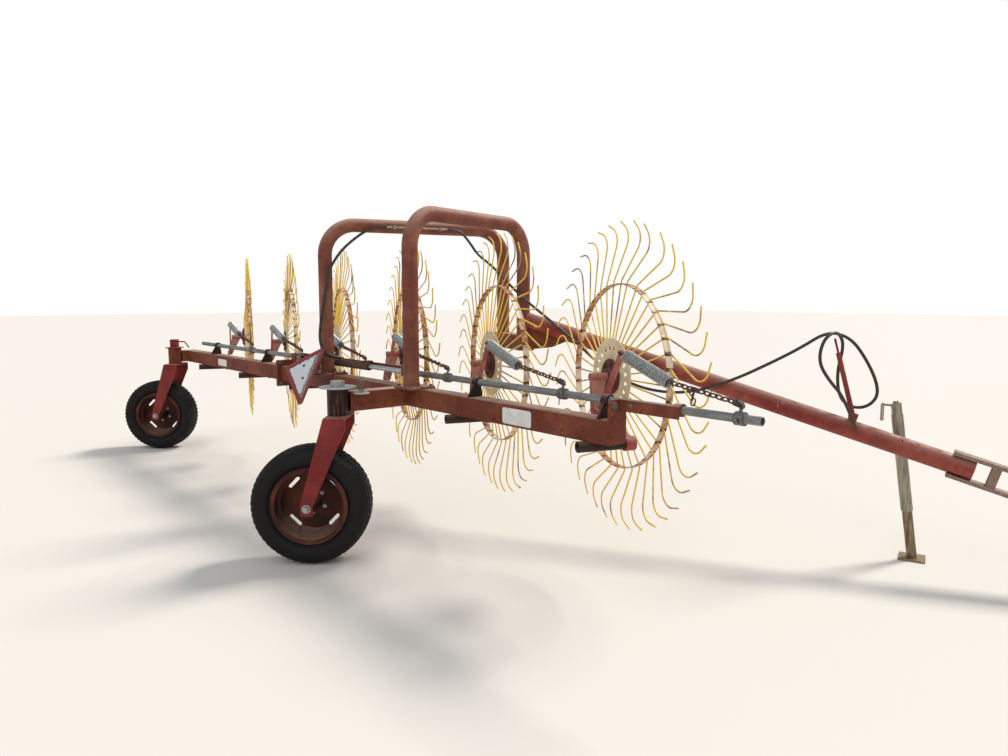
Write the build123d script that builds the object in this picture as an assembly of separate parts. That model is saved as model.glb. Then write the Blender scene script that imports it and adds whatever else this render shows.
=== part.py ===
from build123d import *
import math
import os

# A trailed side-delivery wheel rake: six tined wheels in a slanting row behind one straight beam,
# carried on two castering wheels and, at the hitch, on a jack. All sizes are in millimetres.
# The machine is laid out from the front end of the beam: x forward along the beam, y to the left,
# z up from the ground. The last lines move everything to the middle of the overall box.

BOX_MIDDLE_X = -2340.757
BOX_MIDDLE_Y = 644.168

# Beam: two lengths of square tube, bolted together at a splice
BEAM_LENGTH = 5420.0
BEAM_SIZE = 101.6
BEAM_WALL = 6.35
BEAM_TOP = 920.0
SPLICE_X = -3220.0
FLANGE_WIDTH = 150.0
FLANGE_HEIGHT = 190.0
FLANGE_THICK = 12.0
BOLT_HOLE = 14.0
END_RISE = 80.0

# Rake wheels
WHEEL_COUNT = 6
WHEEL_PITCH = 953.7
WHEEL_YAW = -19.2
FIRST_HUB_X = -432.0
HUB_Y = 506.0
HUB_Z = 1035.0
TIP_RADIUS = 762.0
RIM_RADIUS = 457.0
RIM_WIDTH = 41.0
RIM_THICK = 4.0
DISC_RADIUS = 190.0
DISC_THICK = 4.0
DISC_SET = 42.0
TEAR_RING = 142.0
TEAR_COUNT = 20
TEAR_LENGTH = 30.0
TEAR_WIDTH = 20.0
TINE_COUNT = 40
TINE_WIRE = 7.0
TINE_SWEEP = 45.0
TINE_SHANK = 215.0
TINE_BEND = 70.0
TINE_TURN = 95.0

# Cranks: a shaft in a tube under the beam, an arm to the wheel's spindle and a lever to the lift
CRANK_FORWARD = 465.0
BUSH_FRONT = -458.0
BUSH_BACK = -236.0
BUSH_OD = 48.3
SHAFT_RADIUS = 17.0
SHAFT_PLAY = 0.08
ARM_PLACE = -196.0
ARM_THICK = 20.0
ARM_WIDTH = 46.0
ARM_HEAD = 90.0
KNEE_FORWARD = 120.0
KNEE_DROP = 150.0
SPINDLE_RADIUS = 16.0
HOUSING_RADIUS = 88.0
FLANGE_DEPTH = 10.0
BARREL_RADIUS = 40.0
HOUSING_LENGTH = 52.0
SPINDLE_TUBE = 30.0
LEVER_FORWARD = 340.0
LEVER_RISE = 140.0
LEVER_WIDTH = 34.0
LEVER_THICK = 12.0
EYE_RADIUS = 7.0

# Lift: a pipe that slides above the beam, its cylinder, and a spring and chain to each lever
PIPE_OD = 33.4
PIPE_WALL = 3.4
PIPE_Y = 24.0
PIPE_Z = 995.0
PIPE_FRONT = 655.0
PIPE_REAR = -5080.0
GUIDE_PLAY = 0.5
GUIDE_PLACES = (-70.0, -960.0, -3600.0, -4700.0)
LIFT_STROKE = 176.0
CRANK_TURN = 30.9
CLAMPS_AHEAD = (1000.0, 1048.0, 1120.0, 1190.0, 1240.0, 1290.0)
CLAMP_WIDTH = 36.0
EYE_RISE = 50.0
LUG_THICK = 8.0
LUG_RADIUS = 17.0
PIN_RADIUS = 6.0
PIN_PLAY = 0.1
EAR_THICK = 5.0
EAR_GAP = 0.5
EAR_HALF = 9.0
YOKE_WHEEL = 3
YOKE_BACK = 340.0
SPRING_OD = 50.0
SPRING_LENGTH = 240.0
SPRING_WALL = 7.0
SPRING_TURNS = 33
SPRING_GROOVE = 2.6
SPRING_SIDES = 12
SPRING_START = 36.0
SPRING_SAG = 40.0
LINK_PITCH = 35.0
LINK_WIRE = 7.0
LINK_WIDTH = 26.0
CYLINDER_REAR = -2760.0
BARREL_FRONT = -2050.0
BARREL_OD = 50.0
ROD_OD = 28.0
ROD_END = -1650.0

# Arches of bent pipe over the row, and the tongue that they carry
ARCH_OD = 88.9
ARCH_WALL = 5.5
ARCH_CENTRE_Z = 1890.0
ARCH_Y = -52.0
ARCH_BEND = 200.0
ARCH_FOOT_Z = 1171.0
BASE_PLATE = 170.0
BASE_THICK = 12.0
NEAR_ARCH_X = -1460.0
FAR_ARCH_X = -2460.0
NEAR_FOOT = (-1750.0, 1030.0)
FAR_FOOT = (-2140.0, 1180.0)
ROOT_SIZE = 101.6
TONGUE_OD = 101.6
TONGUE_WALL = 6.35
TONGUE_REAR_Z = 1280.0
TONGUE_YAW = 20.0
TONGUE_SLOPE = 15.7
TONGUE_LENGTH = 2718.0
GUSSET_LENGTH = 330.0
GUSSET_THICK = 10.0
STRAP_LENGTH = 640.0
STRAP_WIDTH = 76.0
STRAP_THICK = 19.0
HITCH_PIN = 26.0

# Castering wheels
TYRE_RADIUS = 320.0
TYRE_WIDTH = 205.0
RIM_FLANGE = 208.0
RIM_SEAT = 190.0
RIM_WIDTH_ROAD = 152.0
RIM_DISC_SET = 36.0
SLOT_RING = 148.0
SLOT_LENGTH = 80.0
SLOT_WIDTH = 18.0
CASTER_YAW = 50.0
CASTER_TRAIL = 150.0
NEAR_PIVOT = (-1561.0, -451.0)
FAR_PIVOT = (60.0 - BEAM_LENGTH, -150.0)
HEAD_OD = 114.3
HEAD_TOP = 945.0
HEAD_BOTTOM = 800.0
CASTER_PIN = 25.4
FORK_INSIDE = 250.0
FORK_PLATE = 12.0
FORK_WAIST = 66.0
AXLE_RADIUS = 15.0
SWIVEL_PLATE = 98.0

# Jack
JACK_ALONG = 2360.0
JACK_OFFSET = 125.0
JACK_LEAN = 8.0
JACK_OUTER = 60.3
JACK_INNER = 50.8
JACK_TOP = 790.0
JACK_LIFT = 150.0
FOOT_SIZE = 130.0
JACK_SWING = 113.7

# Warning triangle beside the rear arch, left blank
SIGN_CENTRE = (-2472.0, -220.0, 933.0)
SIGN_FACING = (0.105, -0.91, 0.4)
SIGN_CORNER = (0.549, 0.389, 0.74)
SIGN_SIDE = 430.0
SIGN_CUT = 37.0
SIGN_THICK = 2.0

# Hose from the cylinder over the rear arch and along the tongue
HOSE_OD = 17.5
CONDUIT_OD = 14.0
CONDUIT_ENDS = (399.0, 825.0)
CONDUIT_OFFSET = 57.0
HOLDER_BASE = 2105.0
HOLDER_TOP = 1925.0
HOLDER_RISE = 378.0
HOLDER_TUBE = 26.0

NODES = {}


def keep(name, shape):
    """Put a piece in the set that is written out at the end."""
    NODES[name] = shape


def box(x0, x1, y0, y1, z0, z1):
    """A block between two corners."""
    return Pos((x0 + x1) / 2, (y0 + y1) / 2, (z0 + z1) / 2) * Box(x1 - x0, y1 - y0, z1 - z0)


def rod(start, end, radius, inner=0.0):
    """A round bar or tube between two points."""
    start = Vector(*start)
    end = Vector(*end)
    plane = Plane(origin=start, z_dir=end - start)
    length = (end - start).length
    solid = extrude(plane * Circle(radius), length)
    if inner > 0:
        solid -= extrude(plane * Circle(inner), length)
    return solid


# Beam

beam_mid = BEAM_TOP - BEAM_SIZE / 2
beam_low = BEAM_TOP - BEAM_SIZE
half = BEAM_SIZE / 2
crank_drop = HUB_Z - beam_low + BUSH_OD / 2


def square_tube(x0, x1):
    """A length of the beam's tube."""
    outer = box(x0, x1, -half, half, beam_low, BEAM_TOP)
    inner = half - BEAM_WALL
    return outer - box(x0, x1, -inner, inner, beam_low + BEAM_WALL, BEAM_TOP - BEAM_WALL)


def flange(x0):
    """A splice plate with its four bolt holes."""
    wide = FLANGE_WIDTH / 2
    tall = FLANGE_HEIGHT / 2
    plate = box(x0, x0 + FLANGE_THICK, -wide, wide, beam_mid - tall, beam_mid + tall)
    for side in (-1, 1):
        for level in (-1, 1):
            at = (x0, side * (wide - 20), beam_mid + level * (tall - 20))
            plate -= Pos(*at) * Rot(0, 90, 0) * Cylinder(BOLT_HOLE / 2, 60)
    return plate


end_plate = box(0, FLANGE_THICK, -half, half, beam_low, BEAM_TOP + END_RISE)
end_plate -= rod((-20, PIPE_Y, PIPE_Z), (20, PIPE_Y, PIPE_Z), PIPE_OD / 2 + 2)
keep("beam_front", square_tube(SPLICE_X + FLANGE_THICK, 0) + flange(SPLICE_X) + end_plate)
rear_cap = box(-BEAM_LENGTH, -BEAM_LENGTH + FLANGE_THICK, -half, half, beam_low, BEAM_TOP)
rear_tube = square_tube(-BEAM_LENGTH, SPLICE_X - FLANGE_THICK)
keep("beam_rear", rear_tube + flange(SPLICE_X - FLANGE_THICK) + rear_cap)

# Outriggers with the caster heads


def outrigger(pivot):
    """An arm from the beam's side to the upright tube that a caster turns in."""
    x, y = pivot
    reach = y + HEAD_OD / 2 - 8
    inner = half - BEAM_WALL
    arm = box(x - half, x + half, reach, -half, beam_low, BEAM_TOP)
    arm -= box(x - inner, x + inner, reach, -half, beam_low + BEAM_WALL, BEAM_TOP - BEAM_WALL)
    head = rod((x, y, HEAD_BOTTOM), (x, y, HEAD_TOP), HEAD_OD / 2)
    bore = rod((x, y, HEAD_BOTTOM - 5), (x, y, HEAD_TOP + 20), CASTER_PIN + SHAFT_PLAY)
    return arm - rod((x, y, HEAD_BOTTOM), (x, y, HEAD_TOP), HEAD_OD / 2 - 1) + head - bore


def lock_tab(x, y, z):
    """A small round plate beside the head with the hub of its lock pin."""
    tab = rod((x, y, z), (x, y, z + 6), 42)
    tab += box(x - 70, x, y - 20, y + 20, z, z + 6)
    return tab + rod((x, y, z + 5), (x, y, z + 22), 13)


near_x, near_y = NEAR_PIVOT
front_arm = outrigger(NEAR_PIVOT)
front_arm += lock_tab(near_x + 118, near_y + 75, BEAM_TOP) - rod(
    (near_x, near_y, HEAD_BOTTOM), (near_x, near_y, HEAD_TOP + 20), HEAD_OD / 2 - 1)
keep("outrigger_front", front_arm)
keep("outrigger_rear", outrigger(FAR_PIVOT))

# Castering wheels


def caster_place(pivot):
    """A frame at the pivot's foot with x along the rolling direction."""
    return Location((pivot[0], pivot[1], 0), (0, 0, CASTER_YAW))


def swivel_top(round_top):
    """What sits on top of a swivel pin: a round plate and cap, or a square plate, stub and handle."""
    low = HEAD_TOP + 0.3
    if round_top:
        return rod((0, 0, low), (0, 0, low + 7), SWIVEL_PLATE) + rod((0, 0, low), (0, 0, low + 38), 37)
    top = box(-62, 62, -62, 62, low, low + 8) + box(-30, 30, -30, 30, low, low + 80)
    handle = FilletPolyline((30, 0, low + 60), (95, 0, low + 60), (135, 0, low + 4), radius=20)
    return top + sweep(Plane(origin=(30, 0, low + 60), z_dir=(1, 0, 0)) * Circle(6), path=handle)


def caster_fork(pivot, round_top):
    """A fork with two bent plate legs under a swivel pin."""
    crown_top = HEAD_BOTTOM - 0.3
    crown = box(-CASTER_TRAIL * 0.35, 60, -FORK_INSIDE / 2 - FORK_PLATE, FORK_INSIDE / 2 + FORK_PLATE,
                crown_top - FORK_PLATE, crown_top)
    pin = rod((0, 0, crown_top - 2), (0, 0, HEAD_TOP + 6), CASTER_PIN)
    fork = crown + pin + swivel_top(round_top)
    front = FORK_WAIST / 2 - CASTER_TRAIL
    back = -FORK_WAIST / 2 - CASTER_TRAIL
    for side in (-1, 1):
        face = side * FORK_INSIDE / 2
        outline = make_face(Polyline(
            (-52, crown_top), (60, crown_top), (60, crown_top - 60), (front, TYRE_RADIUS + 10),
            (front, TYRE_RADIUS - 40), (back, TYRE_RADIUS - 40), (back, TYRE_RADIUS + 20), close=True))
        leg = extrude(Plane.XZ * outline, FORK_PLATE)
        leg = Pos(0, face if side < 0 else face + FORK_PLATE, 0) * leg
        hole = rod((-CASTER_TRAIL, -200, TYRE_RADIUS), (-CASTER_TRAIL, 200, TYRE_RADIUS), AXLE_RADIUS)
        fork += leg - hole
    axle = rod((-CASTER_TRAIL, -FORK_INSIDE / 2 - FORK_PLATE - 12, TYRE_RADIUS),
               (-CASTER_TRAIL, FORK_INSIDE / 2 + FORK_PLATE + 12, TYRE_RADIUS), AXLE_RADIUS)
    return caster_place(pivot) * (fork + axle)


def lathe(points, x, z):
    """A solid of revolution about the wheel's axle from (distance along the axle, radius) points."""
    profile = make_face(Polyline(*[(radius, along) for along, radius in points], close=True))
    ring = revolve(Plane.XY * profile, Axis.Y, 360)
    return Pos(x, 0, z) * ring


def caster_tyre(pivot):
    """A road tyre with rounded shoulders."""
    w = TYRE_WIDTH / 2
    r = TYRE_RADIUS
    s = RIM_SEAT
    b = RIM_WIDTH_ROAD / 2 - 0.3
    edge = [(b, s + 0.3), (b, RIM_FLANGE + 1), (w - 2, RIM_FLANGE + 24), (w, r - 62), (w - 12, r - 18),
            (w - 38, r - 4)]
    points = edge + [(0, r)] + [(-along, radius) for along, radius in reversed(edge)]
    return caster_place(pivot) * lathe(points, -CASTER_TRAIL, r)


def caster_rim(pivot):
    """A pressed rim with its centre disc and hub."""
    w = RIM_WIDTH_ROAD / 2
    f = RIM_FLANGE
    s = RIM_SEAT
    bore = AXLE_RADIUS + SHAFT_PLAY
    near = RIM_DISC_SET
    far = RIM_DISC_SET + 8
    points = [(-w - 8, f), (-w, f), (-w, s), (-30, s), (-20, s - 18), (20, s - 18), (30, s),
              (w, s), (w, f), (w + 8, f), (w + 6, s - 6), (34, s - 6), (30, s - 16), (far, 150),
              (far, 42), (100, 40), (100, bore), (-100, bore), (-100, 40), (near, 42),
              (near, 150), (22, s - 24), (-24, s - 24), (-34, s - 6), (-w - 6, s - 6)]
    rim = lathe(points, 0, 0)
    outline = SlotOverall(SLOT_LENGTH, SLOT_WIDTH, rotation=90)
    slot = Pos(SLOT_RING, 0, 0) * Rot(-90, 0, 0) * extrude(outline, 80)
    rim -= [Rot(0, 90 * k + 44, 0) * slot for k in range(4)]
    return caster_place(pivot) * Pos(-CASTER_TRAIL, 0, TYRE_RADIUS) * rim


for label, pivot in (("front", NEAR_PIVOT), ("rear", FAR_PIVOT)):
    keep("caster_fork_" + label, caster_fork(pivot, label == "front"))
    keep("caster_tyre_" + label, caster_tyre(pivot))
    keep("caster_rim_" + label, caster_rim(pivot))

# Rake wheels and their cranks, in a frame at the wheel's centre: x forward in the wheel's plane,
# y along the axle away from the beam


def hub_place(index):
    """The frame at the centre of one rake wheel."""
    return Location((FIRST_HUB_X - index * WHEEL_PITCH, HUB_Y, HUB_Z), (0, 0, WHEEL_YAW))


def tine_path():
    """The corners of one tine in the wheel's plane, from the rim out to the tip."""
    points = [(RIM_RADIUS + 6, 0.0)]
    heading = -TINE_SWEEP
    x = RIM_RADIUS + 6 + TINE_SHANK * math.cos(math.radians(heading))
    z = TINE_SHANK * math.sin(math.radians(heading))
    points.append((x, z))
    turn = TINE_TURN / 2
    chord = 2 * TINE_BEND * math.sin(math.radians(turn) / 2)
    for step in (0.5, 1.5):
        angle = math.radians(heading + turn * step)
        x += chord * math.cos(angle)
        z += chord * math.sin(angle)
        points.append((x, z))
    tip = math.radians(heading + TINE_TURN)
    reach = 10.0
    while math.hypot(x + reach * math.cos(tip), z + reach * math.sin(tip)) < TIP_RADIUS:
        reach += 1.0
    points.append((x + reach * math.cos(tip), z + reach * math.sin(tip)))
    return points


def flat_wire(points, half_width):
    """The outline of a wire of even width along the given corners."""
    sides = {1: [], -1: []}
    count = len(points)
    for i, (x, z) in enumerate(points):
        before = points[max(i - 1, 0)]
        after = points[min(i + 1, count - 1)]
        a = math.atan2(z - before[1], x - before[0]) if i > 0 else None
        b = math.atan2(after[1] - z, after[0] - x) if i < count - 1 else None
        a = b if a is None else a
        b = a if b is None else b
        middle = (a + b) / 2
        offset = half_width / math.cos((b - a) / 2)
        for side in (1, -1):
            sides[side].append((x - side * offset * math.sin(middle), z + side * offset * math.cos(middle)))
    return sides[1] + sides[-1][::-1]


def annulus(outer, inner, y0, y1):
    """A ring about the axle between two planes."""
    ring = extrude(Plane.XZ * Circle(outer), -(y1 - y0))
    ring -= extrude(Plane.XZ * Circle(inner), -(y1 - y0))
    return Pos(0, y0, 0) * ring


def wheel_centre():
    """The pierced centre disc with its bolted hub."""
    bore = SPINDLE_RADIUS + SHAFT_PLAY
    disc = annulus(DISC_RADIUS, bore, -DISC_SET - DISC_THICK, -DISC_SET)
    tip = TEAR_RING + TEAR_LENGTH / 2
    wide = TEAR_WIDTH / 2
    low = TEAR_RING - wide / 2
    high = TEAR_RING + wide / 2
    drop = make_face(Polyline((low - wide / 2, 0), (low, wide * 0.86), (high, wide * 0.8), (tip, 0),
                              (high, -wide * 0.8), (low, -wide * 0.86), close=True))
    hole = Pos(0, -DISC_SET + 5, 0) * extrude(Plane.XZ * drop, 20)
    disc -= [Rot(0, 360.0 * (k + 0.5) / TEAR_COUNT, 0) * hole for k in range(TEAR_COUNT)]
    back = -DISC_SET - DISC_THICK
    disc += annulus(HOUSING_RADIUS, bore, back - FLANGE_DEPTH, back)
    return disc + annulus(BARREL_RADIUS, bore, back - HOUSING_LENGTH / 2, back)


def tine_ring():
    """All tines of one wheel; each runs out from the disc to the rim and past it to its tip."""
    inner_end = Vector(DISC_RADIUS - 12, -DISC_SET, 0)
    outer_end = Vector(RIM_RADIUS + 6, 0, 0)
    tilt = math.degrees(math.atan2(DISC_SET, outer_end.X - inner_end.X))
    spoke_length = (outer_end - inner_end).length
    spoke = Location(((inner_end.X + outer_end.X) / 2, -DISC_SET / 2, 0), (0, 0, tilt)) * Box(
        spoke_length, TINE_WIRE, TINE_WIRE)
    outer = make_face(Polyline(*flat_wire(tine_path(), TINE_WIRE / 2), close=True))
    hook = Pos(0, TINE_WIRE / 2, 0) * extrude(Plane.XZ * outer, TINE_WIRE)
    tine = spoke + hook
    return [Rot(0, 360.0 * k / TINE_COUNT, 0) * tine for k in range(TINE_COUNT)]


rim = annulus(RIM_RADIUS, RIM_RADIUS - RIM_THICK, -RIM_WIDTH / 2, RIM_WIDTH / 2)
wheel_solid = rim + wheel_centre() + tine_ring()

for index in range(WHEEL_COUNT):
    keep("rake_wheel_%d" % (index + 1), hub_place(index) * wheel_solid)


def crank():
    """A crank: shaft, arm, spindle, and the lift lever."""
    px = CRANK_FORWARD
    pz = -crank_drop
    lever_y = ARM_PLACE + ARM_THICK / 2
    hub_back = -DISC_SET - DISC_THICK - HOUSING_LENGTH / 2
    shaft = rod((px, BUSH_FRONT + 40, pz), (px, ARM_PLACE, pz), SHAFT_RADIUS)
    shaft += rod((px, BUSH_BACK + 2, pz), (px, lever_y, pz), ARM_WIDTH / 2 + 9)
    knee = (KNEE_FORWARD - 20, -KNEE_DROP)
    bar = make_face(Polyline(*flat_wire([knee, (px, pz)], ARM_WIDTH / 2), close=True))
    arm = Pos(0, lever_y, 0) * extrude(Plane.XZ * bar, ARM_THICK)
    tube_end = hub_back - 0.3 - ARM_HEAD
    upper = Plane(origin=(0, tube_end + ARM_HEAD / 2 - 3, -6)) * Rectangle(16, ARM_HEAD - 8)
    knee_plane = Plane(origin=(KNEE_FORWARD, ARM_PLACE + 8, -KNEE_DROP - 8))
    lower = knee_plane * Rectangle(ARM_WIDTH, ARM_THICK + 20)
    arm += loft([upper, lower])
    spindle = rod((0, tube_end, 0), (0, -DISC_SET + 14, 0), SPINDLE_RADIUS)
    spindle += rod((0, tube_end, 0), (0, hub_back - 0.3, 0), SPINDLE_TUBE / 2 + 5)
    spindle += rod((0, -DISC_SET + 0.3, 0), (0, -DISC_SET + 14, 0), SPINDLE_RADIUS + 8)
    low = (KNEE_FORWARD + 20, -KNEE_DROP)
    top = (LEVER_FORWARD, LEVER_RISE)
    strip = make_face(Polyline(*flat_wire([low, top], LEVER_WIDTH / 2), close=True))
    lever = Pos(0, lever_y + LEVER_THICK, 0) * extrude(Plane.XZ * strip, LEVER_THICK)
    lever += rod((top[0], lever_y, top[1]), (top[0], lever_y + LEVER_THICK, top[1]), LEVER_WIDTH / 2)
    lever -= rod((top[0], lever_y - 5, top[1]), (top[0], lever_y + LEVER_THICK + 5, top[1]), EYE_RADIUS)
    return shaft + arm + spindle + lever


crank_solid = crank()
bushes = []
for index in range(WHEEL_COUNT):
    keep("crank_%d" % (index + 1), hub_place(index) * crank_solid)
    bush = rod((CRANK_FORWARD, BUSH_FRONT, -crank_drop), (CRANK_FORWARD, BUSH_BACK, -crank_drop),
               BUSH_OD / 2, SHAFT_RADIUS + SHAFT_PLAY)
    bushes.append(hub_place(index) * bush)
keep("crank_bushes", Compound(children=bushes))

# Lift pipe, its guides, clamps, cylinder and yoke


def on_pipe(x):
    """A point of the lift pipe's axis."""
    return (x, PIPE_Y, PIPE_Z)


pipe_radius = PIPE_OD / 2
front_pipe = rod(on_pipe(ROD_END), on_pipe(PIPE_FRONT), pipe_radius, pipe_radius - PIPE_WALL)
rear_pipe = rod(on_pipe(PIPE_REAR), on_pipe(CYLINDER_REAR - 230), pipe_radius, pipe_radius - PIPE_WALL)
yoke_y = PIPE_Y + BARREL_OD / 2 + 8
yoke = box(CYLINDER_REAR - YOKE_BACK - 30, ROD_END + 60, yoke_y, yoke_y + 10, PIPE_Z - 12, PIPE_Z + 25)
for x in (CYLINDER_REAR - YOKE_BACK, ROD_END + 30):
    yoke += box(x - 30, x + 30, PIPE_Y - 23, yoke_y + 2, PIPE_Z - 23, PIPE_Z + 23)
yoke -= rod(on_pipe(CYLINDER_REAR - 500), on_pipe(CYLINDER_REAR - 200), PIPE_OD / 2)
yoke -= rod(on_pipe(ROD_END), on_pipe(ROD_END + 200), PIPE_OD / 2)
keep("lift_pipe_front", front_pipe)
keep("lift_pipe_rear", rear_pipe)


def lever_eye(index, turned=0.0):
    """Where the lift pulls on a crank's lever, after the crank has turned by an angle."""
    ahead = LEVER_FORWARD - CRANK_FORWARD
    above = LEVER_RISE + crank_drop
    c = math.cos(math.radians(turned))
    s = math.sin(math.radians(turned))
    local = Vector(CRANK_FORWARD + ahead * c - above * s, ARM_PLACE + ARM_THICK / 2 + LEVER_THICK / 2,
                   ahead * s + above * c - crank_drop)
    return hub_place(index).position + local.rotate(Axis.Z, WHEEL_YAW)


def clamp_eye(index, slid=0.0):
    """The pin of one wheel's clamp on the pipe, after the pipe has slid rearwards."""
    return Vector(FIRST_HUB_X - index * WHEEL_PITCH + CLAMPS_AHEAD[index] - slid, PIPE_Y, PIPE_Z + EYE_RISE)


def pull(index, turned=0.0, slid=0.0):
    """The line from a clamp's pin to its lever's eye."""
    return lever_eye(index, turned) - clamp_eye(index, slid)


def swing_axis(index):
    """The direction of the clamp's pin, square to the hanger at both ends of the lift."""
    return pull(index).cross(pull(index, CRANK_TURN, LIFT_STROKE)).normalized()


def swing_angle(index):
    """How far a hanger turns about its pin over the lift."""
    before = pull(index).normalized()
    after = pull(index, CRANK_TURN, LIFT_STROKE).normalized()
    return math.degrees(math.acos(before.dot(after)))


def hanger_place(index):
    """A frame at the clamp's pin: x towards the lever, z along the pin."""
    return Plane(origin=clamp_eye(index), x_dir=pull(index), z_dir=swing_axis(index)).location


lug = Pos(0, 0, -LUG_THICK / 2) * extrude(Plane.XY * Circle(LUG_RADIUS), LUG_THICK)
pin_hole = Pos(0, 0, -30) * extrude(Plane.XY * Circle(PIN_RADIUS + PIN_PLAY), 60)
clamps = []
for index in range(WHEEL_COUNT):
    eye = clamp_eye(index)
    hole = hanger_place(index) * pin_hole
    foot = box(eye.X - 6, eye.X + 6, PIPE_Y - 3, PIPE_Y + 3, PIPE_Z + PIPE_OD / 2 + 4, eye.Z - 14)
    if index == YOKE_WHEEL:
        over = PIPE_Z + BARREL_OD / 2 + 2
        yoke += box(eye.X - 25, eye.X + 25, PIPE_Y - 12, yoke_y + 2, over, over + 6)
        yoke += box(eye.X - 25, eye.X + 25, yoke_y, yoke_y + 10, PIPE_Z, over + 6)
        yoke += box(eye.X - 6, eye.X + 6, PIPE_Y - 3, PIPE_Y + 3, over, eye.Z - 14)
        yoke += hanger_place(index) * lug
        yoke -= hole
        continue
    body = rod(on_pipe(eye.X - CLAMP_WIDTH / 2), on_pipe(eye.X + CLAMP_WIDTH / 2), pipe_radius + 9)
    body += foot + hanger_place(index) * lug
    body -= rod(on_pipe(eye.X - 40), on_pipe(eye.X + 40), pipe_radius + 0.02)
    clamps.append(body - hole)
keep("lift_clamps", Compound(children=clamps))
keep("lift_yoke", yoke)

guides = []
for x in GUIDE_PLACES:
    side = make_face(Polyline((PIPE_Y - 64, BEAM_TOP), (half, BEAM_TOP), (half, BEAM_TOP + 14),
                              (PIPE_Y + 16, PIPE_Z), (PIPE_Y - 20, PIPE_Z), close=True))
    plate = Pos(x - 5, 0, 0) * extrude(Plane.YZ * side, 10)
    plate += rod(on_pipe(x - 18), on_pipe(x + 18), pipe_radius + 9)
    plate -= rod(on_pipe(x - 40), on_pipe(x + 40), pipe_radius + GUIDE_PLAY)
    guides.append(plate)
keep("lift_guides", Compound(children=guides))

strap_y = PIPE_Y - PIPE_OD / 2 - 5
strap_low = PIPE_Z - 33
strap_high = PIPE_Z + 16
strap = box(FLANGE_THICK, FLANGE_THICK + 8, -half, strap_y, BEAM_TOP + 18, strap_high)
strap += box(FLANGE_THICK, 318, strap_y - 8, strap_y, strap_low, strap_high)
strap += rod(on_pipe(284), on_pipe(318), pipe_radius + 9)
strap -= rod(on_pipe(200), on_pipe(400), pipe_radius + GUIDE_PLAY)
keep("end_strap", strap)

barrel = rod(on_pipe(CYLINDER_REAR), on_pipe(BARREL_FRONT), BARREL_OD / 2)
barrel -= rod(on_pipe(CYLINDER_REAR + 20), on_pipe(BARREL_FRONT + 5), ROD_OD / 2 + 0.1)
lug = box(CYLINDER_REAR - 40, CYLINDER_REAR + 5, PIPE_Y - 8, PIPE_Y + 8, PIPE_Z - 20, PIPE_Z + 20)
lug -= rod((CYLINDER_REAR - 28, PIPE_Y - 20, PIPE_Z), (CYLINDER_REAR - 28, PIPE_Y + 20, PIPE_Z), 9.1)
anchor = box(CYLINDER_REAR - 60, CYLINDER_REAR - 5, PIPE_Y - 40, PIPE_Y + 24, BEAM_TOP, BEAM_TOP + 12)
for side in (-1, 1):
    low = PIPE_Y + side * 16 - 5
    anchor += box(CYLINDER_REAR - 55, CYLINDER_REAR - 5, low, low + 10, BEAM_TOP + 10, PIPE_Z + 20)
anchor += rod((CYLINDER_REAR - 28, PIPE_Y - 26, PIPE_Z), (CYLINDER_REAR - 28, PIPE_Y + 26, PIPE_Z), 9)
keep("cylinder_barrel", barrel + lug)
keep("cylinder_anchor", anchor)
keep("cylinder_rod", rod(on_pipe(CYLINDER_REAR + 250), on_pipe(ROD_END), ROD_OD / 2))

# Hangers: a close-coiled spring and a chain from each lever to its clamp

def chain_link(length):
    """One link as a ring of square wire with cut corners, lying in the plane of x and y."""
    a = length / 2
    b = LINK_WIDTH / 2
    c = LINK_WIRE
    outer = make_face(Polyline((-a, b - c), (-a + c, b), (a - c, b), (a, b - c), (a, c - b), (a - c, -b),
                               (-a + c, -b), (-a, c - b), close=True))
    link = Pos(0, 0, -c / 2) * extrude(outer, c)
    return link - box(c - a, a - c, c - b, b - c, -c, c)


def spring_coils(place):
    """A close-coiled spring as a tube with one groove between each two coils."""
    step = SPRING_LENGTH / SPRING_TURNS / 2
    radius = SPRING_OD / 2
    rings = [Pos(0, 0, step * k) * RegularPolygon(radius - SPRING_GROOVE * (1 - k % 2), SPRING_SIDES)
             for k in range(2 * SPRING_TURNS + 1)]
    hollow = Pos(0, 0, SPRING_LENGTH / 2) * Cylinder(radius - SPRING_WALL, SPRING_LENGTH + 2)
    return place * (loft(rings, ruled=True) - hollow)


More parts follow.
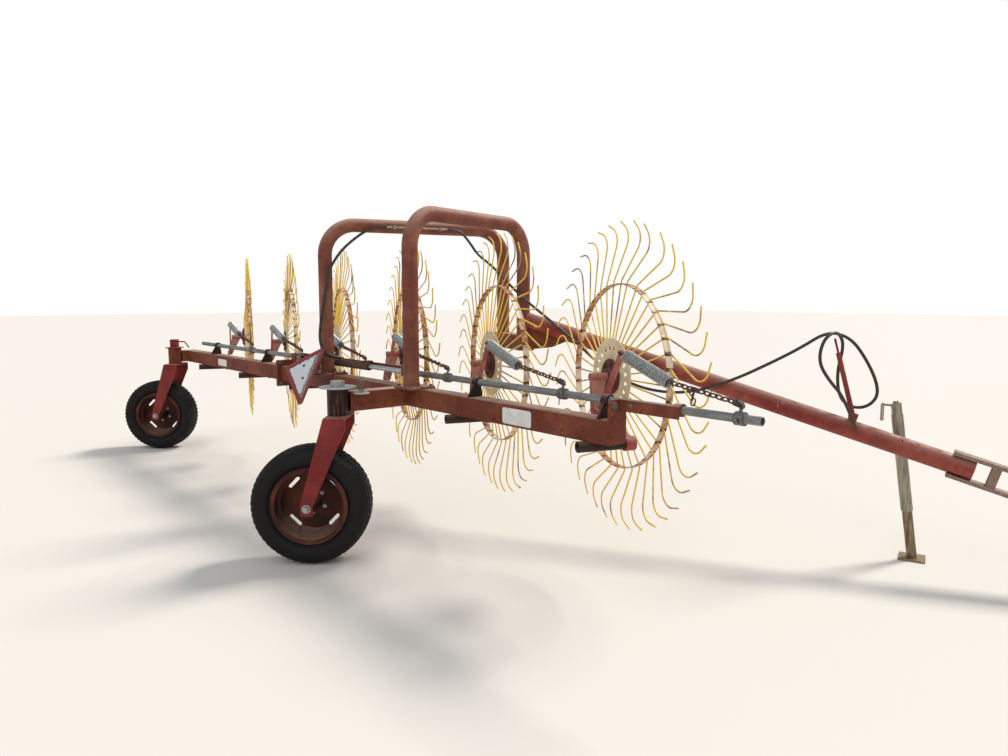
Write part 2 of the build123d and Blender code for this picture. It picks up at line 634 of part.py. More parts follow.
def hanger(index):
    """A hanger in the frame of its clamp's pin: fork, chain, spring and the fork at the lever."""
    reach = pull(index).length
    stack = LUG_THICK / 2 + EAR_GAP + EAR_THICK
    parts = Pos(0, 0, -stack) * extrude(Plane.XY * Circle(PIN_RADIUS), 2 * stack)
    for side in (-1, 1):
        low = LUG_THICK / 2 + EAR_GAP if side > 0 else -stack
        parts += Pos(0, 0, low) * extrude(Plane.XY * Circle(EAR_HALF), EAR_THICK)
        parts += box(0, 36, -EAR_HALF, EAR_HALF, low, low + EAR_THICK)
    parts += box(26, 36, -EAR_HALF, EAR_HALF, -stack, stack)
    start = Vector(reach - SPRING_START, 0, 0)
    knee = Vector(reach - SPRING_START - SPRING_LENGTH, SPRING_SAG, 0)
    axis = (start - knee).normalized()
    wound = spring_coils(Plane(origin=knee, x_dir=(0, 0, 1), z_dir=axis).location)
    wound += rod(tuple(start - axis * 8), tuple(start), SPRING_OD / 2 - 3)
    bar_at = knee + axis * 16
    wound += rod((bar_at.X, bar_at.Y, 4 - SPRING_OD / 2), (bar_at.X, bar_at.Y, SPRING_OD / 2 - 4), 4)
    chain_start = Vector(33, 0, 0)
    run = bar_at - chain_start
    count = round(run.length / LINK_PITCH)
    pitch = (run.length - 2) / count
    link = chain_link(pitch + 2 * LINK_WIRE - 0.6)
    lie = Plane(origin=chain_start, x_dir=run, z_dir=(0, 0, 1)).location
    links = [lie * Pos((k + 0.5) * pitch, 0, 0) * Rot(90 * (k % 2), 0, 0) * link for k in range(count)]
    return parts + wound + links


def lever_fork(index):
    """Two plates that run from the spring's end past both sides of the lever's eye."""
    eye = lever_eye(index)
    normal = Vector(0, 1, 0).rotate(Axis.Z, WHEEL_YAW)
    start = hanger_place(index) * Pos(pull(index).length - SPRING_START, 0, 0)
    place = Plane(origin=eye, x_dir=start.position - eye, z_dir=normal).location
    strips = []
    for side in (-1, 1):
        low = side * (LEVER_THICK / 2 + 6.5) - 2
        strip = box(0, SPRING_START + 3, -8, 8, low, low + 4)
        strips.append(place * (strip + Pos(0, 0, low + 2) * Cylinder(8, 4)))
    return strips


for index in range(WHEEL_COUNT):
    keep("hanger_%d" % (index + 1), hanger_place(index) * hanger(index) + lever_fork(index))

# Arches


def arch(base_x, foot):
    """A bent pipe from a plate on the beam, up and over the row, down to the tongue's root."""
    start = Vector(base_x, ARCH_Y, BEAM_TOP + BASE_THICK)
    foot = Vector(foot[0], foot[1], ARCH_FOOT_Z)
    path = FilletPolyline(
        (start.X, start.Y, start.Z), (start.X, start.Y, ARCH_CENTRE_Z), (foot.X, foot.Y, ARCH_CENTRE_Z),
        (foot.X, foot.Y, foot.Z), radius=ARCH_BEND)
    section = Plane(origin=start, z_dir=(0, 0, 1)) * (Circle(ARCH_OD / 2) - Circle(ARCH_OD / 2 - ARCH_WALL))
    pipe = sweep(section, path=path)
    plate = box(base_x - BASE_PLATE / 2, base_x + BASE_PLATE / 2, -half - 60, half,
                BEAM_TOP, BEAM_TOP + BASE_THICK)
    return pipe + plate


keep("arch_front", arch(NEAR_ARCH_X, NEAR_FOOT))
keep("arch_rear", arch(FAR_ARCH_X, FAR_FOOT))

# Tongue, its root and the hitch

tongue_yaw = math.radians(TONGUE_YAW)
tongue_slope = math.radians(TONGUE_SLOPE)
along = Vector(math.cos(tongue_yaw) * math.cos(tongue_slope), math.sin(tongue_yaw) * math.cos(tongue_slope),
               -math.sin(tongue_slope))
left = Vector(-math.sin(tongue_yaw), math.cos(tongue_yaw), 0)
up = along.cross(left)
rear = Vector(NEAR_FOOT[0], NEAR_FOOT[1], TONGUE_REAR_Z)
tongue_start = rear + along * (ARCH_OD / 2 - 6)
tongue_end = rear + along * TONGUE_LENGTH
tongue = rod(tuple(tongue_start), tuple(tongue_end), TONGUE_OD / 2, TONGUE_OD / 2 - TONGUE_WALL)
near_leg = rod((NEAR_FOOT[0], NEAR_FOOT[1], 1100), (NEAR_FOOT[0], NEAR_FOOT[1], 1500), ARCH_OD / 2 + 0.2)
keep("tongue", tongue - near_leg)

root_bottom = ARCH_FOOT_Z - ROOT_SIZE
link = Vector(FAR_FOOT[0] - NEAR_FOOT[0], FAR_FOOT[1] - NEAR_FOOT[1], 0)
link_yaw = math.degrees(math.atan2(link.Y, link.X))
root_place = Location((NEAR_FOOT[0], NEAR_FOOT[1], root_bottom), (0, 0, link_yaw))
wall = TONGUE_WALL
root = root_place * (box(-70, link.length + 70, -ROOT_SIZE / 2, ROOT_SIZE / 2, 0, ROOT_SIZE) - box(
    wall - 70, link.length + 70 - wall, wall - ROOT_SIZE / 2, ROOT_SIZE / 2 - wall, wall, ROOT_SIZE - wall))
wedge_low = ARCH_FOOT_Z - ROOT_SIZE + 5
wedge = make_face(Polyline(
    (ARCH_OD / 2 + 3, wedge_low), (ARCH_OD / 2 + 170, wedge_low + 20),
    (GUSSET_LENGTH, TONGUE_REAR_Z - math.tan(tongue_slope) * GUSSET_LENGTH - TONGUE_OD / 2 + 3),
    (ARCH_OD / 2 + 3, TONGUE_REAR_Z - TONGUE_OD / 2 + 5), close=True))
wedge_solid = Pos(0, GUSSET_THICK / 2, 0) * extrude(Plane.XZ * wedge, GUSSET_THICK)
root += Location((NEAR_FOOT[0], NEAR_FOOT[1], 0), (0, 0, TONGUE_YAW)) * wedge_solid
keep("tongue_root", root - tongue - rod(tuple(tongue_start), tuple(tongue_end), TONGUE_OD / 2) - near_leg)

strap_rear = tongue_end - along * 110
strap_front = strap_rear + along * STRAP_LENGTH
hitch_parts = []
for sign in (-1, 1):
    seat = TONGUE_OD / 2 + 0.3
    plane = Plane(origin=strap_rear, x_dir=along, z_dir=up)
    z0 = seat if sign > 0 else -seat - STRAP_THICK
    bar = plane.location * box(0, STRAP_LENGTH, -STRAP_WIDTH / 2, STRAP_WIDTH / 2, z0, z0 + STRAP_THICK)
    tip_at = Pos(STRAP_LENGTH, 0, z0 + STRAP_THICK / 2)
    bar += plane.location * tip_at * Cylinder(STRAP_WIDTH / 2, STRAP_THICK)
    bar -= plane.location * Pos(STRAP_LENGTH, 0, 0) * Cylinder(HITCH_PIN / 2, 300)
    hitch_parts.append(bar)
gap = TONGUE_OD / 2 + 1
spacer = plane.location * box(180, 220, -STRAP_WIDTH / 2, STRAP_WIDTH / 2, -gap, gap)
keep("hitch", hitch_parts[0] + hitch_parts[1] + spacer)

# Jack beside the tongue

jack_at = rear + along * JACK_ALONG
lean = math.radians(JACK_LEAN)
ahead = Vector(math.cos(tongue_yaw), math.sin(tongue_yaw), 0)
axis_down = ahead * math.sin(lean) - Vector(0, 0, math.cos(lean))
jack_centre = jack_at + left * JACK_OFFSET


def on_jack(height):
    """The point of the jack's axis at a height above the ground."""
    drop = (jack_centre.Z - height) / -axis_down.Z
    return jack_centre + axis_down * drop


foot_top = on_jack(14)
outer = rod(tuple(on_jack(265)), tuple(on_jack(JACK_TOP)), JACK_OUTER / 2, JACK_INNER / 2 + 0.3)
outer += rod(tuple(on_jack(JACK_TOP - 8)), tuple(on_jack(JACK_TOP)), JACK_OUTER / 2)
hub_face = JACK_OUTER / 2 + 24
hub_floor = JACK_OUTER / 2 + 3


def beside(distance):
    """A point on the jack's swing axis, this far from the jack towards the tongue."""
    return tuple(jack_centre - left * distance)


outer += rod(beside(JACK_OUTER / 2 - 4), beside(hub_face), 36) - rod(
    beside(hub_floor), beside(hub_face + 1), 22 + SHAFT_PLAY) - rod(
    tuple(on_jack(265)), tuple(on_jack(JACK_TOP)), JACK_OUTER / 2 - 1)
mount = rod(beside(hub_face + 0.3), beside(JACK_OFFSET - TONGUE_OD / 2 + 6), 36)
mount += rod(beside(hub_floor + 0.3), beside(hub_face + 2), 22)
keep("jack_tube", outer)
keep("jack_mount", mount - rod(tuple(tongue_start), tuple(tongue_end), TONGUE_OD / 2 + 0.02))
head_top = on_jack(JACK_TOP + 62)
head = rod(tuple(on_jack(JACK_TOP)), tuple(head_top), 27)
head += rod(tuple(head_top), tuple(on_jack(JACK_TOP + 72)), 14)
turn_from = on_jack(JACK_TOP + 50)
turn_to = turn_from + Vector(-0.35, -0.9, 0.1).normalized() * 95
handle = rod(tuple(turn_from), tuple(turn_to), 8)
handle += rod(tuple(turn_to), tuple(turn_to - Vector(0, 0, 88)), 9)
keep("jack_head", head + handle)
leg = rod(tuple(on_jack(8)), tuple(on_jack(600)), JACK_INNER / 2)
spot = on_jack(0)
foot = Location((spot.X, spot.Y, 5), (0, 0, TONGUE_YAW)) * Box(FOOT_SIZE, FOOT_SIZE, 10)
keep("jack_leg", leg + foot)

# Warning triangle on a bent strip from the rear arch's plate

sign_plane = Plane(origin=SIGN_CENTRE, x_dir=Vector(*SIGN_CORNER), z_dir=SIGN_FACING)
corner_reach = SIGN_SIDE / math.sqrt(3)


def cut_triangle(reach, cut):
    """A triangle with its corners cut square, by its corner radius and the width of the cut."""
    corners = [Vector(reach, 0, 0).rotate(Axis.Z, 120 * k) for k in range(3)]
    outline = []
    for k in range(3):
        before = (corners[k - 1] - corners[k]).normalized()
        after = (corners[(k + 1) % 3] - corners[k]).normalized()
        outline.append(tuple(corners[k] + before * cut))
        outline.append(tuple(corners[k] + after * cut))
    return make_face(Polyline(*outline, close=True))


plate = extrude(cut_triangle(corner_reach, SIGN_CUT), -SIGN_THICK)
keep("sign_plate", sign_plane.location * plate)
sign_back = Vector(*SIGN_FACING).normalized()
level = Vector(0, 0, 1).cross(sign_back).normalized()
upright = sign_back.cross(level)
behind = Vector(*SIGN_CENTRE) - sign_back * (SIGN_THICK + 0.2)
strip_plane = Plane(origin=behind, x_dir=level, z_dir=sign_back)
strip = strip_plane.location * box(-20, 20, -110, 110, -6, 0)
foot_at = Vector(*SIGN_CENTRE) - sign_back * (SIGN_THICK + 6)
arch_edge = -half - 60
tab = box(foot_at.X - 20, foot_at.X + 20, foot_at.Y - 10, arch_edge, BEAM_TOP, BEAM_TOP + 6)
half_space = strip_plane.location * box(-200, 200, -200, 200, -1, 200)
keep("sign_bracket", strip + (tab - half_space))

# Hose holder: a leaning tube on the tongue with a thin rod on top


def over_tongue(reach, height, aside=0.0):
    """A point by its distance along the tongue's axis, above it and to the left of it."""
    return rear + along * reach + up * height + left * aside


holder_foot = over_tongue(HOLDER_BASE, TONGUE_OD / 2 + 18)
holder_head = over_tongue(HOLDER_TOP, HOLDER_RISE)
holder_way = (holder_head - holder_foot).normalized()
holder = rod(tuple(holder_foot), tuple(holder_head), HOLDER_TUBE / 2)
holder += rod(tuple(holder_head - holder_way * 10), tuple(holder_head + holder_way * 80), 6)
holder += Plane(origin=over_tongue(HOLDER_BASE, 0), x_dir=along, z_dir=up).location * box(
    -22, 22, -15, 15, 0, TONGUE_OD / 2 + 40)
keep("hose_holder", holder - rod(tuple(tongue_start), tuple(tongue_end), TONGUE_OD / 2 + 0.1))

# Hose and the steel pipe on the rear arch

arch_run = Vector(FAR_FOOT[0] - FAR_ARCH_X, FAR_FOOT[1] - ARCH_Y, 0).normalized()
arch_side = Vector(arch_run.Y, -arch_run.X, 0)
conduit_z = ARCH_CENTRE_Z - 8


def on_arch(reach, z):
    """A point beside the rear arch, by its distance along the arch's top and its height."""
    at = Vector(FAR_ARCH_X, ARCH_Y, 0) + arch_run * reach + arch_side * CONDUIT_OFFSET
    return (at.X, at.Y, z)


conduit_start = on_arch(CONDUIT_ENDS[0], conduit_z)
conduit_end = on_arch(CONDUIT_ENDS[1], conduit_z)
keep("hose_conduit", rod(conduit_start, conduit_end, CONDUIT_OD / 2))
clips = []
for share in (0.12, 0.88):
    reach = CONDUIT_ENDS[0] + share * (CONDUIT_ENDS[1] - CONDUIT_ENDS[0])
    at = Vector(*on_arch(reach, conduit_z))
    turn = Plane(origin=at, x_dir=arch_run, z_dir=(0, 0, 1)).location
    clip = turn * box(-9, 9, -11, 24, -12, 12) - rod(conduit_start, conduit_end, CONDUIT_OD / 2 + 0.02)
    axis_low = Vector(FAR_ARCH_X, ARCH_Y, ARCH_CENTRE_Z)
    clips.append(clip - rod(tuple(axis_low), tuple(axis_low + arch_run * 1100), ARCH_OD / 2 + 0.02))
keep("hose_clips", Compound(children=clips))

HOSE_REAR = [
    (-2401, 10, 1028), (-2402, -86, 1045), (-2420, -128, 1130), (-2418, -112, 1290), (-2410, -84, 1440),
    (-2403, -61, 1590), (-2383, 16, 1715), (-2360, 108, 1800), (-2337, 195, 1860), on_arch(335, conduit_z),
    on_arch(CONDUIT_ENDS[0] - 0.3, conduit_z)]
HOSE_FRONT = [
    on_arch(CONDUIT_ENDS[1] + 0.3, conduit_z), on_arch(910, conduit_z), (-2158, 882, 1812),
    (-2141, 950, 1715),
    (-2018, 975, 1640), (-1850, 962, 1531), (-1674, 965, 1414), (-1520, 1035, 1289), (-1338, 1104, 1145),
    (-1149, 1172, 982), (-946, 1246, 876), (-735, 1323, 849), (-560, 1387, 882), (-378, 1453, 960),
    (-202, 1517, 1060), (-66, 1572, 1145), (48, 1653, 1242), (131, 1747, 1205), (198, 1803, 1082),
    (250, 1822, 960), (254, 1823, 880), (202, 1801, 823), (128, 1770, 823), (76, 1748, 880),
    (68, 1734, 1020),
    (104, 1726, 1160), (104, 1672, 1230), (100, 1590, 1238), (85, 1522, 1185), (75, 1513, 1080),
    (117, 1550, 985), (168, 1611, 900), (197, 1642, 800)]


def hose(points, outer_radius):
    """A hose of straight runs and tangent arcs; each arc uses nine tenths of its shorter half run."""
    corners = [Vector(*p) for p in points]
    radii = []
    for before, at, after in zip(corners, corners[1:], corners[2:]):
        turn = math.acos((at - before).normalized().dot((after - at).normalized()))
        shorter = min((at - before).length, (after - at).length)
        radii.append(0.45 * shorter / math.tan(turn / 2))
    print("hose radii, mm:", [round(r) for r in radii])
    path = FilletPolyline(*[tuple(p) for p in corners], radius=radii)
    section = Plane(origin=corners[0], z_dir=corners[1] - corners[0]) * Circle(outer_radius)
    tube = sweep(section, path=path)
    print("hose length %.0f mm, volume over section times length %.4f" % (
        path.length, tube.volume / (path.length * math.pi * outer_radius ** 2)))
    return tube


keep("hose_rear", hose(HOSE_REAR, HOSE_OD / 2))
keep("hose_front", hose(HOSE_FRONT, HOSE_OD / 2))
tail = Vector(*HOSE_FRONT[-1])
tail_way = (tail - Vector(*HOSE_FRONT[-2])).normalized()
coupler = rod(tuple(tail), tuple(tail + tail_way * 45), 13)
coupler += rod(tuple(tail), tuple(tail + tail_way * 85), 10)
keep("hose_coupler", coupler)
port = Vector(*HOSE_REAR[0])
port_way = (port - Vector(*HOSE_REAR[1])).normalized()
fitting = rod(on_pipe(port.X), (port.X, PIPE_Y, port.Z + 6), 9)
fitting += rod(tuple(port), tuple(port + port_way * 15), 8)
keep("hose_fitting", fitting - rod(on_pipe(port.X - 30), on_pipe(port.X + 30), BARREL_OD / 2 + 0.02))

os.makedirs("parts", exist_ok=True)
for name, shape in NODES.items():
    export_step(Pos(-BOX_MIDDLE_X, -BOX_MIDDLE_Y, 0) * shape, "parts/" + name + ".step")
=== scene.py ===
import math

import bmesh
import bpy
from mathutils import Matrix, Vector


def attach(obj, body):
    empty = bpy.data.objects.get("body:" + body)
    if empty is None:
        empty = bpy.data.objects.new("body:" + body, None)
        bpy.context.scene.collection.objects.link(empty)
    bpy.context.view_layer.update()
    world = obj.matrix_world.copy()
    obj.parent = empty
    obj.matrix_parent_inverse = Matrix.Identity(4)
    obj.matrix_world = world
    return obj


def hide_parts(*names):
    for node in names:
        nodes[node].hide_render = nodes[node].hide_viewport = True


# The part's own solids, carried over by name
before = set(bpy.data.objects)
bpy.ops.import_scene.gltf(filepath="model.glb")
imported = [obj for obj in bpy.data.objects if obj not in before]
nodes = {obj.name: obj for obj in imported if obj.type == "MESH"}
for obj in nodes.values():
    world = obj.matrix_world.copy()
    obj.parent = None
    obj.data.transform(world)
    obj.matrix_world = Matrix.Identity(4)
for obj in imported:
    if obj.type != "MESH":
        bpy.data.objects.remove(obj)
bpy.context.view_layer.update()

# Camera, floor and light. The photograph was taken standing, about 1.4 m above the ground and
# ahead of the machine on its right side, with a wide lens tilted six degrees down.
camera = bpy.data.objects.new("camera", bpy.data.cameras.new("camera"))
camera.location = (4.41948, -2.98829, 1.4311)
camera.rotation_euler = (math.radians(83.821), 0, math.radians(50.06))
camera.data.lens = 27.08
camera.data.sensor_width = 36
camera.data.clip_end = 200
bpy.context.scene.collection.objects.link(camera)
bpy.context.scene.camera = camera
bpy.context.scene.view_settings.view_transform = "Standard"


def tone(code):
    """A colour of eight bits a channel as the shader's linear values."""
    parts = [int(code[i:i + 2], 16) / 255 for i in (1, 3, 5)]
    return [c / 12.92 if c <= 0.04045 else ((c + 0.055) / 1.055) ** 2.4 for c in parts] + [1.0]


def add(tree, kind, links=None, **settings):
    """A node with its settings; links gives its inputs, by index or name, a value or a socket to join."""
    node = tree.nodes.new(kind)
    for key, value in settings.items():
        setattr(node, key, value)
    for key, value in (links or {}).items():
        if isinstance(value, bpy.types.NodeSocket):
            tree.links.new(value, node.inputs[key])
        else:
            node.inputs[key].default_value = value
    return node


# A pale matt floor takes the shadows. The camera sees a white sky, while the machine is lit by a soft
# bluish one, a warm sun with soft edges and a faint lamp from the other side
floor_mesh = bpy.data.meshes.new("floor")
floor_half = 60
floor_mesh.from_pydata([(-floor_half, -floor_half, 0), (floor_half, -floor_half, 0),
                        (floor_half, floor_half, 0), (-floor_half, floor_half, 0)], [], [(0, 1, 2, 3)])
floor = bpy.data.objects.new("floor", floor_mesh)
bpy.context.scene.collection.objects.link(floor)
floor_paint = bpy.data.materials.new("pale_floor")
floor_paint.use_nodes = True
floor_shader = floor_paint.node_tree.nodes["Principled BSDF"]
floor_shader.inputs["Base Color"].default_value = tone("#d9d4cc")
floor_shader.inputs["Roughness"].default_value = 0.9
floor_mesh.materials.append(floor_paint)

world = bpy.data.worlds.new("soft_sky")
bpy.context.scene.world = world
world.use_nodes = True
sky = world.node_tree
sky.nodes.clear()
path = add(sky, "ShaderNodeLightPath")
seen = add(sky, "ShaderNodeBackground", {"Color": (1, 1, 1, 1), "Strength": 1.0})
soft = add(sky, "ShaderNodeBackground", {"Color": tone("#e4e9f0"), "Strength": 0.72})
either = add(sky, "ShaderNodeMixShader", {0: path.outputs["Is Camera Ray"], 1: soft.outputs[0],
                                          2: seen.outputs[0]})
add(sky, "ShaderNodeOutputWorld", {0: either.outputs[0]})

for label, towards, degrees, power, colour in (
        ("key_light", (-0.1, -0.66, -0.74), 14.0, 3.1, (1.0, 0.95, 0.88)),
        ("fill_light", (-0.5, 0.62, -0.6), 40.0, 0.5, (0.95, 0.97, 1.0))):
    lamp = bpy.data.lights.new(label, "SUN")
    lamp.angle = math.radians(degrees)
    lamp.energy = power
    lamp.color = colour
    lamp_object = bpy.data.objects.new(label, lamp)
    lamp_object.rotation_euler = Vector(towards).to_track_quat("-Z", "Y").to_euler()
    bpy.context.scene.collection.objects.link(lamp_object)

# Beam: two lengths of square steel tube, bolted together at a splice, with a tall plate at the front
# end and the casters' outriggers welded to its side. Its enamel is chalked to a brown brick red, paler
# tan on top with dust and with painted top light, and rust shows through it in dark blotches.


def worn_paint(name, base, faded, dark, rust, rusted, gloss=0.5, top_dust_and_light=0.5):
    """Enamel on steel, bleached in patches, paler with dust and painted top light on what faces up, rusted
    in blotches and specks.
    """
    made = bpy.data.materials.new(name)
    made.use_nodes = True
    tree = made.node_tree
    shader = tree.nodes["Principled BSDF"]
    at = add(tree, "ShaderNodeTexCoord").outputs["Object"]
    # Bleached patches come every 320 mm, blotches every 60 mm and specks every 7 mm; the grain of
    # 1.6 mm is coarser than real enamel has, so that it shows
    broad = add(tree, "ShaderNodeTexNoise", {"Vector": at, "Scale": 3.1, "Detail": 4.0, "Roughness": 0.6})
    blotch = add(tree, "ShaderNodeTexNoise", {"Vector": at, "Scale": 17.0, "Detail": 7.0,
                                              "Roughness": 0.68})
    speck = add(tree, "ShaderNodeTexNoise", {"Vector": at, "Scale": 140.0, "Detail": 3.0, "Roughness": 0.7})
    fine = add(tree, "ShaderNodeTexNoise", {"Vector": at, "Scale": 620.0, "Detail": 2.0, "Roughness": 0.6})
    normal = add(tree, "ShaderNodeNewGeometry").outputs["Normal"]
    facing = add(tree, "ShaderNodeSeparateXYZ", {0: normal})
    fade = add(tree, "ShaderNodeMapRange", {0: broad.outputs[0], 1: 0.42, 2: 0.58, 3: 0.0, 4: 1.0})
    shade = add(tree, "ShaderNodeMapRange", {0: blotch.outputs[0], 1: 0.38, 2: 0.6, 3: 1.0, 4: 0.0})
    pale = add(tree, "ShaderNodeMix", {0: fade.outputs[0], 6: tone(base), 7: tone(faded)}, data_type="RGBA")
    deep = add(tree, "ShaderNodeMath", {0: shade.outputs[0], 1: 0.55}, operation="MULTIPLY")
    mottled = add(tree, "ShaderNodeMix", {0: deep.outputs[0], 6: pale.outputs[2], 7: tone(dark)},
                  data_type="RGBA")
    # Pale dust and painted top light: the more a face looks up, the paler tan it is painted, broken by
    # specks
    up = add(tree, "ShaderNodeMapRange", {0: facing.outputs[2], 1: 0.2, 2: 0.95, 3: 0.0, 4: top_dust_and_light})
    specked = add(tree, "ShaderNodeMapRange", {0: speck.outputs[0], 1: 0.3, 2: 0.62, 3: 0.45, 4: 1.0})
    top_dust_and_light_share = add(tree, "ShaderNodeMath", {0: up.outputs[0], 1: specked.outputs[0]}, operation="MULTIPLY")
    # The tan mixed in here is partly dust and partly painted top light
    dusted_and_top_lit = add(tree, "ShaderNodeMix", {0: top_dust_and_light_share.outputs[0], 6: mottled.outputs[2], 7: tone("#b79a86")},
                data_type="RGBA")
    # Rust breaks through where blotch and speck are both strong, and is rougher than the enamel
    worn = add(tree, "ShaderNodeMath", {0: blotch.outputs[0], 1: speck.outputs[0]}, operation="MULTIPLY")
    bare = add(tree, "ShaderNodeMapRange", {0: worn.outputs[0], 1: rusted, 2: rusted + 0.035, 3: 0.0,
                                            4: 1.0})
    oxide = add(tree, "ShaderNodeMix", {0: speck.outputs[0], 6: tone(rust), 7: tone("#2b1410")},
                data_type="RGBA")
    final = add(tree, "ShaderNodeMix", {0: bare.outputs[0], 6: dusted_and_top_lit.outputs[2], 7: oxide.outputs[2]},
                data_type="RGBA")
    tree.links.new(final.outputs[2], shader.inputs["Base Color"])
    shader.inputs["Specular IOR Level"].default_value = 0.3
    rough = add(tree, "ShaderNodeMapRange", {0: worn.outputs[0], 1: 0.15, 2: rusted + 0.02, 3: gloss,
                                             4: 0.88})
    tree.links.new(rough.outputs[0], shader.inputs["Roughness"])
    height = add(tree, "ShaderNodeMath", {0: speck.outputs[0], 1: fine.outputs[0]}, operation="ADD")
    bump = add(tree, "ShaderNodeBump", {"Strength": 0.22, "Distance": 0.0006, "Height": height.outputs[0]})
    tree.links.new(bump.outputs[0], shader.inputs["Normal"])
    return made


def dress(material, slot, *names):
    """Give carried-over nodes their material, with round faces shaded smooth; the slot is not used."""
    for name in names:
        data = nodes[name].data
        data.materials.clear()
        data.materials.append(material)
        data.polygons.foreach_set("use_smooth", [True] * len(data.polygons))
        data.set_sharp_from_angle(angle=math.radians(35))


frame_paint = worn_paint("faded_frame_enamel", "#70321f", "#87482f", "#45200f", "#5a2c12", rusted=0.318,
                         gloss=0.5, top_dust_and_light=0.95)
dress(frame_paint, "frame_paint", "beam_front", "beam_rear", "outrigger_front", "outrigger_rear",
      "tongue_root", "end_strap", "cylinder_anchor", "lift_yoke")

# Arches: two bows of bent round tube over the row of wheels, on base plates. Nothing shades them, so
# their enamel is bleached further, to a pinkish brown with less rust.
arch_paint = worn_paint("bleached_arch_enamel", "#7a4031", "#97614c", "#542b1e", "#5e3520", rusted=0.335,
                        gloss=0.5, top_dust_and_light=0.85)
dress(arch_paint, "frame_paint", "arch_front", "arch_rear")

# Guides and bushes: plates that carry the lift pipe above the beam, and short tubes welded under it
# for the cranks. The guides are black with old grease and dirt, and brown where that has come off;
# the bushes under the beam get the same near black as painted shade, for the beam's shadow on them.
black_and_painted_shade_paint = worn_paint("black_enamel_and_painted_shade", "#2a1d19", "#4a2a22", "#171110", "#553024", rusted=0.33,
                         gloss=0.5, top_dust_and_light=0.35)
dress(black_and_painted_shade_paint, "frame_paint", "lift_guides", "crank_bushes")

# Caster forks: steel plate, each turning on a pin in its head tube. Their enamel is a deeper, fresher
# red than the beam's, nearly whole and a little glossy.
caster_paint = worn_paint("dull_red_caster_enamel", "#7a1f1b", "#8b302a", "#4d1410", "#4a2318",
                          rusted=0.355, gloss=0.4, top_dust_and_light=0.5)
dress(caster_paint, "caster_paint", "caster_fork_front", "caster_fork_rear")

# Tongue: one long steel tube from the arches down to the hitch, with a flat bar that holds the hose.
# Its red enamel is sound but chipped to the pale primer in a few places, each chip some 13 mm wide.
tongue_paint = worn_paint("chipped_tongue_enamel", "#802a23", "#984a3f", "#561f18", "#6b4534", rusted=0.345,
                          gloss=0.38, top_dust_and_light=0.5)
tree = tongue_paint.node_tree
shader = tree.nodes["Principled BSDF"]
under = shader.inputs["Base Color"].links[0].from_socket
at = add(tree, "ShaderNodeTexCoord").outputs["Object"]
spread = add(tree, "ShaderNodeTexNoise", {"Vector": at, "Scale": 4.3, "Detail": 2.0})
chips = add(tree, "ShaderNodeTexNoise", {"Vector": at, "Scale": 75.0, "Detail": 5.0, "Roughness": 0.75})
scuffed = add(tree, "ShaderNodeMath", {0: spread.outputs[0], 1: chips.outputs[0]}, operation="MULTIPLY")
chipped = add(tree, "ShaderNodeMapRange", {0: scuffed.outputs[0], 1: 0.385, 2: 0.4, 3: 0.0, 4: 0.9})
scarred = add(tree, "ShaderNodeMix", {0: chipped.outputs[0], 6: under, 7: tone("#d8c3b2")},
              data_type="RGBA")
tree.links.new(scarred.outputs[2], shader.inputs["Base Color"])
dress(tongue_paint, "tongue_paint", "tongue", "hose_holder")

# Cranks: a shaft, an arm and a lever for each rake wheel, welded up and turning in the bushes. Their
# enamel has gone pale and pinkish, more so than the beam's.
crank_paint = worn_paint("pale_red_crank_enamel", "#994034", "#b87064", "#63281f", "#5a3122", rusted=0.35,
                         gloss=0.45, top_dust_and_light=0.65)
dress(crank_paint, "crank_paint", *["crank_%d" % k for k in range(1, 7)])

# Lift pipe: two lengths of galvanised water pipe that slide through the guides. The zinc is dull
# grey, with faint streaks along the pipe.


def weathered_metal(name, base, dark, stain, stained, metallic=0.6, rough=0.45, drawn=(1.0, 1.0, 1.0)):
    """Zinc or bare steel gone dull, with stains in patches; drawn stretches its specks into streaks."""
    made = bpy.data.materials.new(name)
    made.use_nodes = True
    tree = made.node_tree
    shader = tree.nodes["Principled BSDF"]
    at = add(tree, "ShaderNodeTexCoord").outputs["Object"]
    # Stains gather in patches of about 110 mm; the specks of 10 mm are drawn coarser than real ones,
    # so that they show
    broad = add(tree, "ShaderNodeTexNoise", {"Vector": at, "Scale": 9.0, "Detail": 5.0, "Roughness": 0.62})
    pulled = add(tree, "ShaderNodeVectorMath", {0: at, 1: drawn}, operation="MULTIPLY")
    speck = add(tree, "ShaderNodeTexNoise", {"Vector": pulled.outputs[0], "Scale": 95.0, "Detail": 5.0,
                                             "Roughness": 0.7})
    mixed = add(tree, "ShaderNodeMapRange", {0: speck.outputs[0], 1: 0.32, 2: 0.68, 3: 0.0, 4: 1.0})
    body = add(tree, "ShaderNodeMix", {0: mixed.outputs[0], 6: tone(base), 7: tone(dark)},
               data_type="RGBA")
    both = add(tree, "ShaderNodeMath", {0: broad.outputs[0], 1: speck.outputs[0]}, operation="MULTIPLY")
    spot = add(tree, "ShaderNodeMapRange", {0: both.outputs[0], 1: stained, 2: stained + 0.07, 3: 0.0,
                                            4: 1.0})
    final = add(tree, "ShaderNodeMix", {0: spot.outputs[0], 6: body.outputs[2], 7: tone(stain)},
                data_type="RGBA")
    tree.links.new(final.outputs[2], shader.inputs["Base Color"])
    shine = add(tree, "ShaderNodeMapRange", {0: both.outputs[0], 1: 0.15, 2: stained + 0.05, 3: rough,
                                             4: 0.85})
    tree.links.new(shine.outputs[0], shader.inputs["Roughness"])
    shader.inputs["Metallic"].default_value = metallic
    bump = add(tree, "ShaderNodeBump", {"Strength": 0.2, "Distance": 0.0005, "Height": speck.outputs[0]})
    tree.links.new(bump.outputs[0], shader.inputs["Normal"])
    return made


galvanised = weathered_metal("galvanised_pipe", "#999a99", "#6a6862", "#5d4634", stained=0.35,
                             metallic=0.6, rough=0.36, drawn=(0.1, 1.0, 1.0))
dress(galvanised, "galvanised", "lift_pipe_front", "lift_pipe_rear")

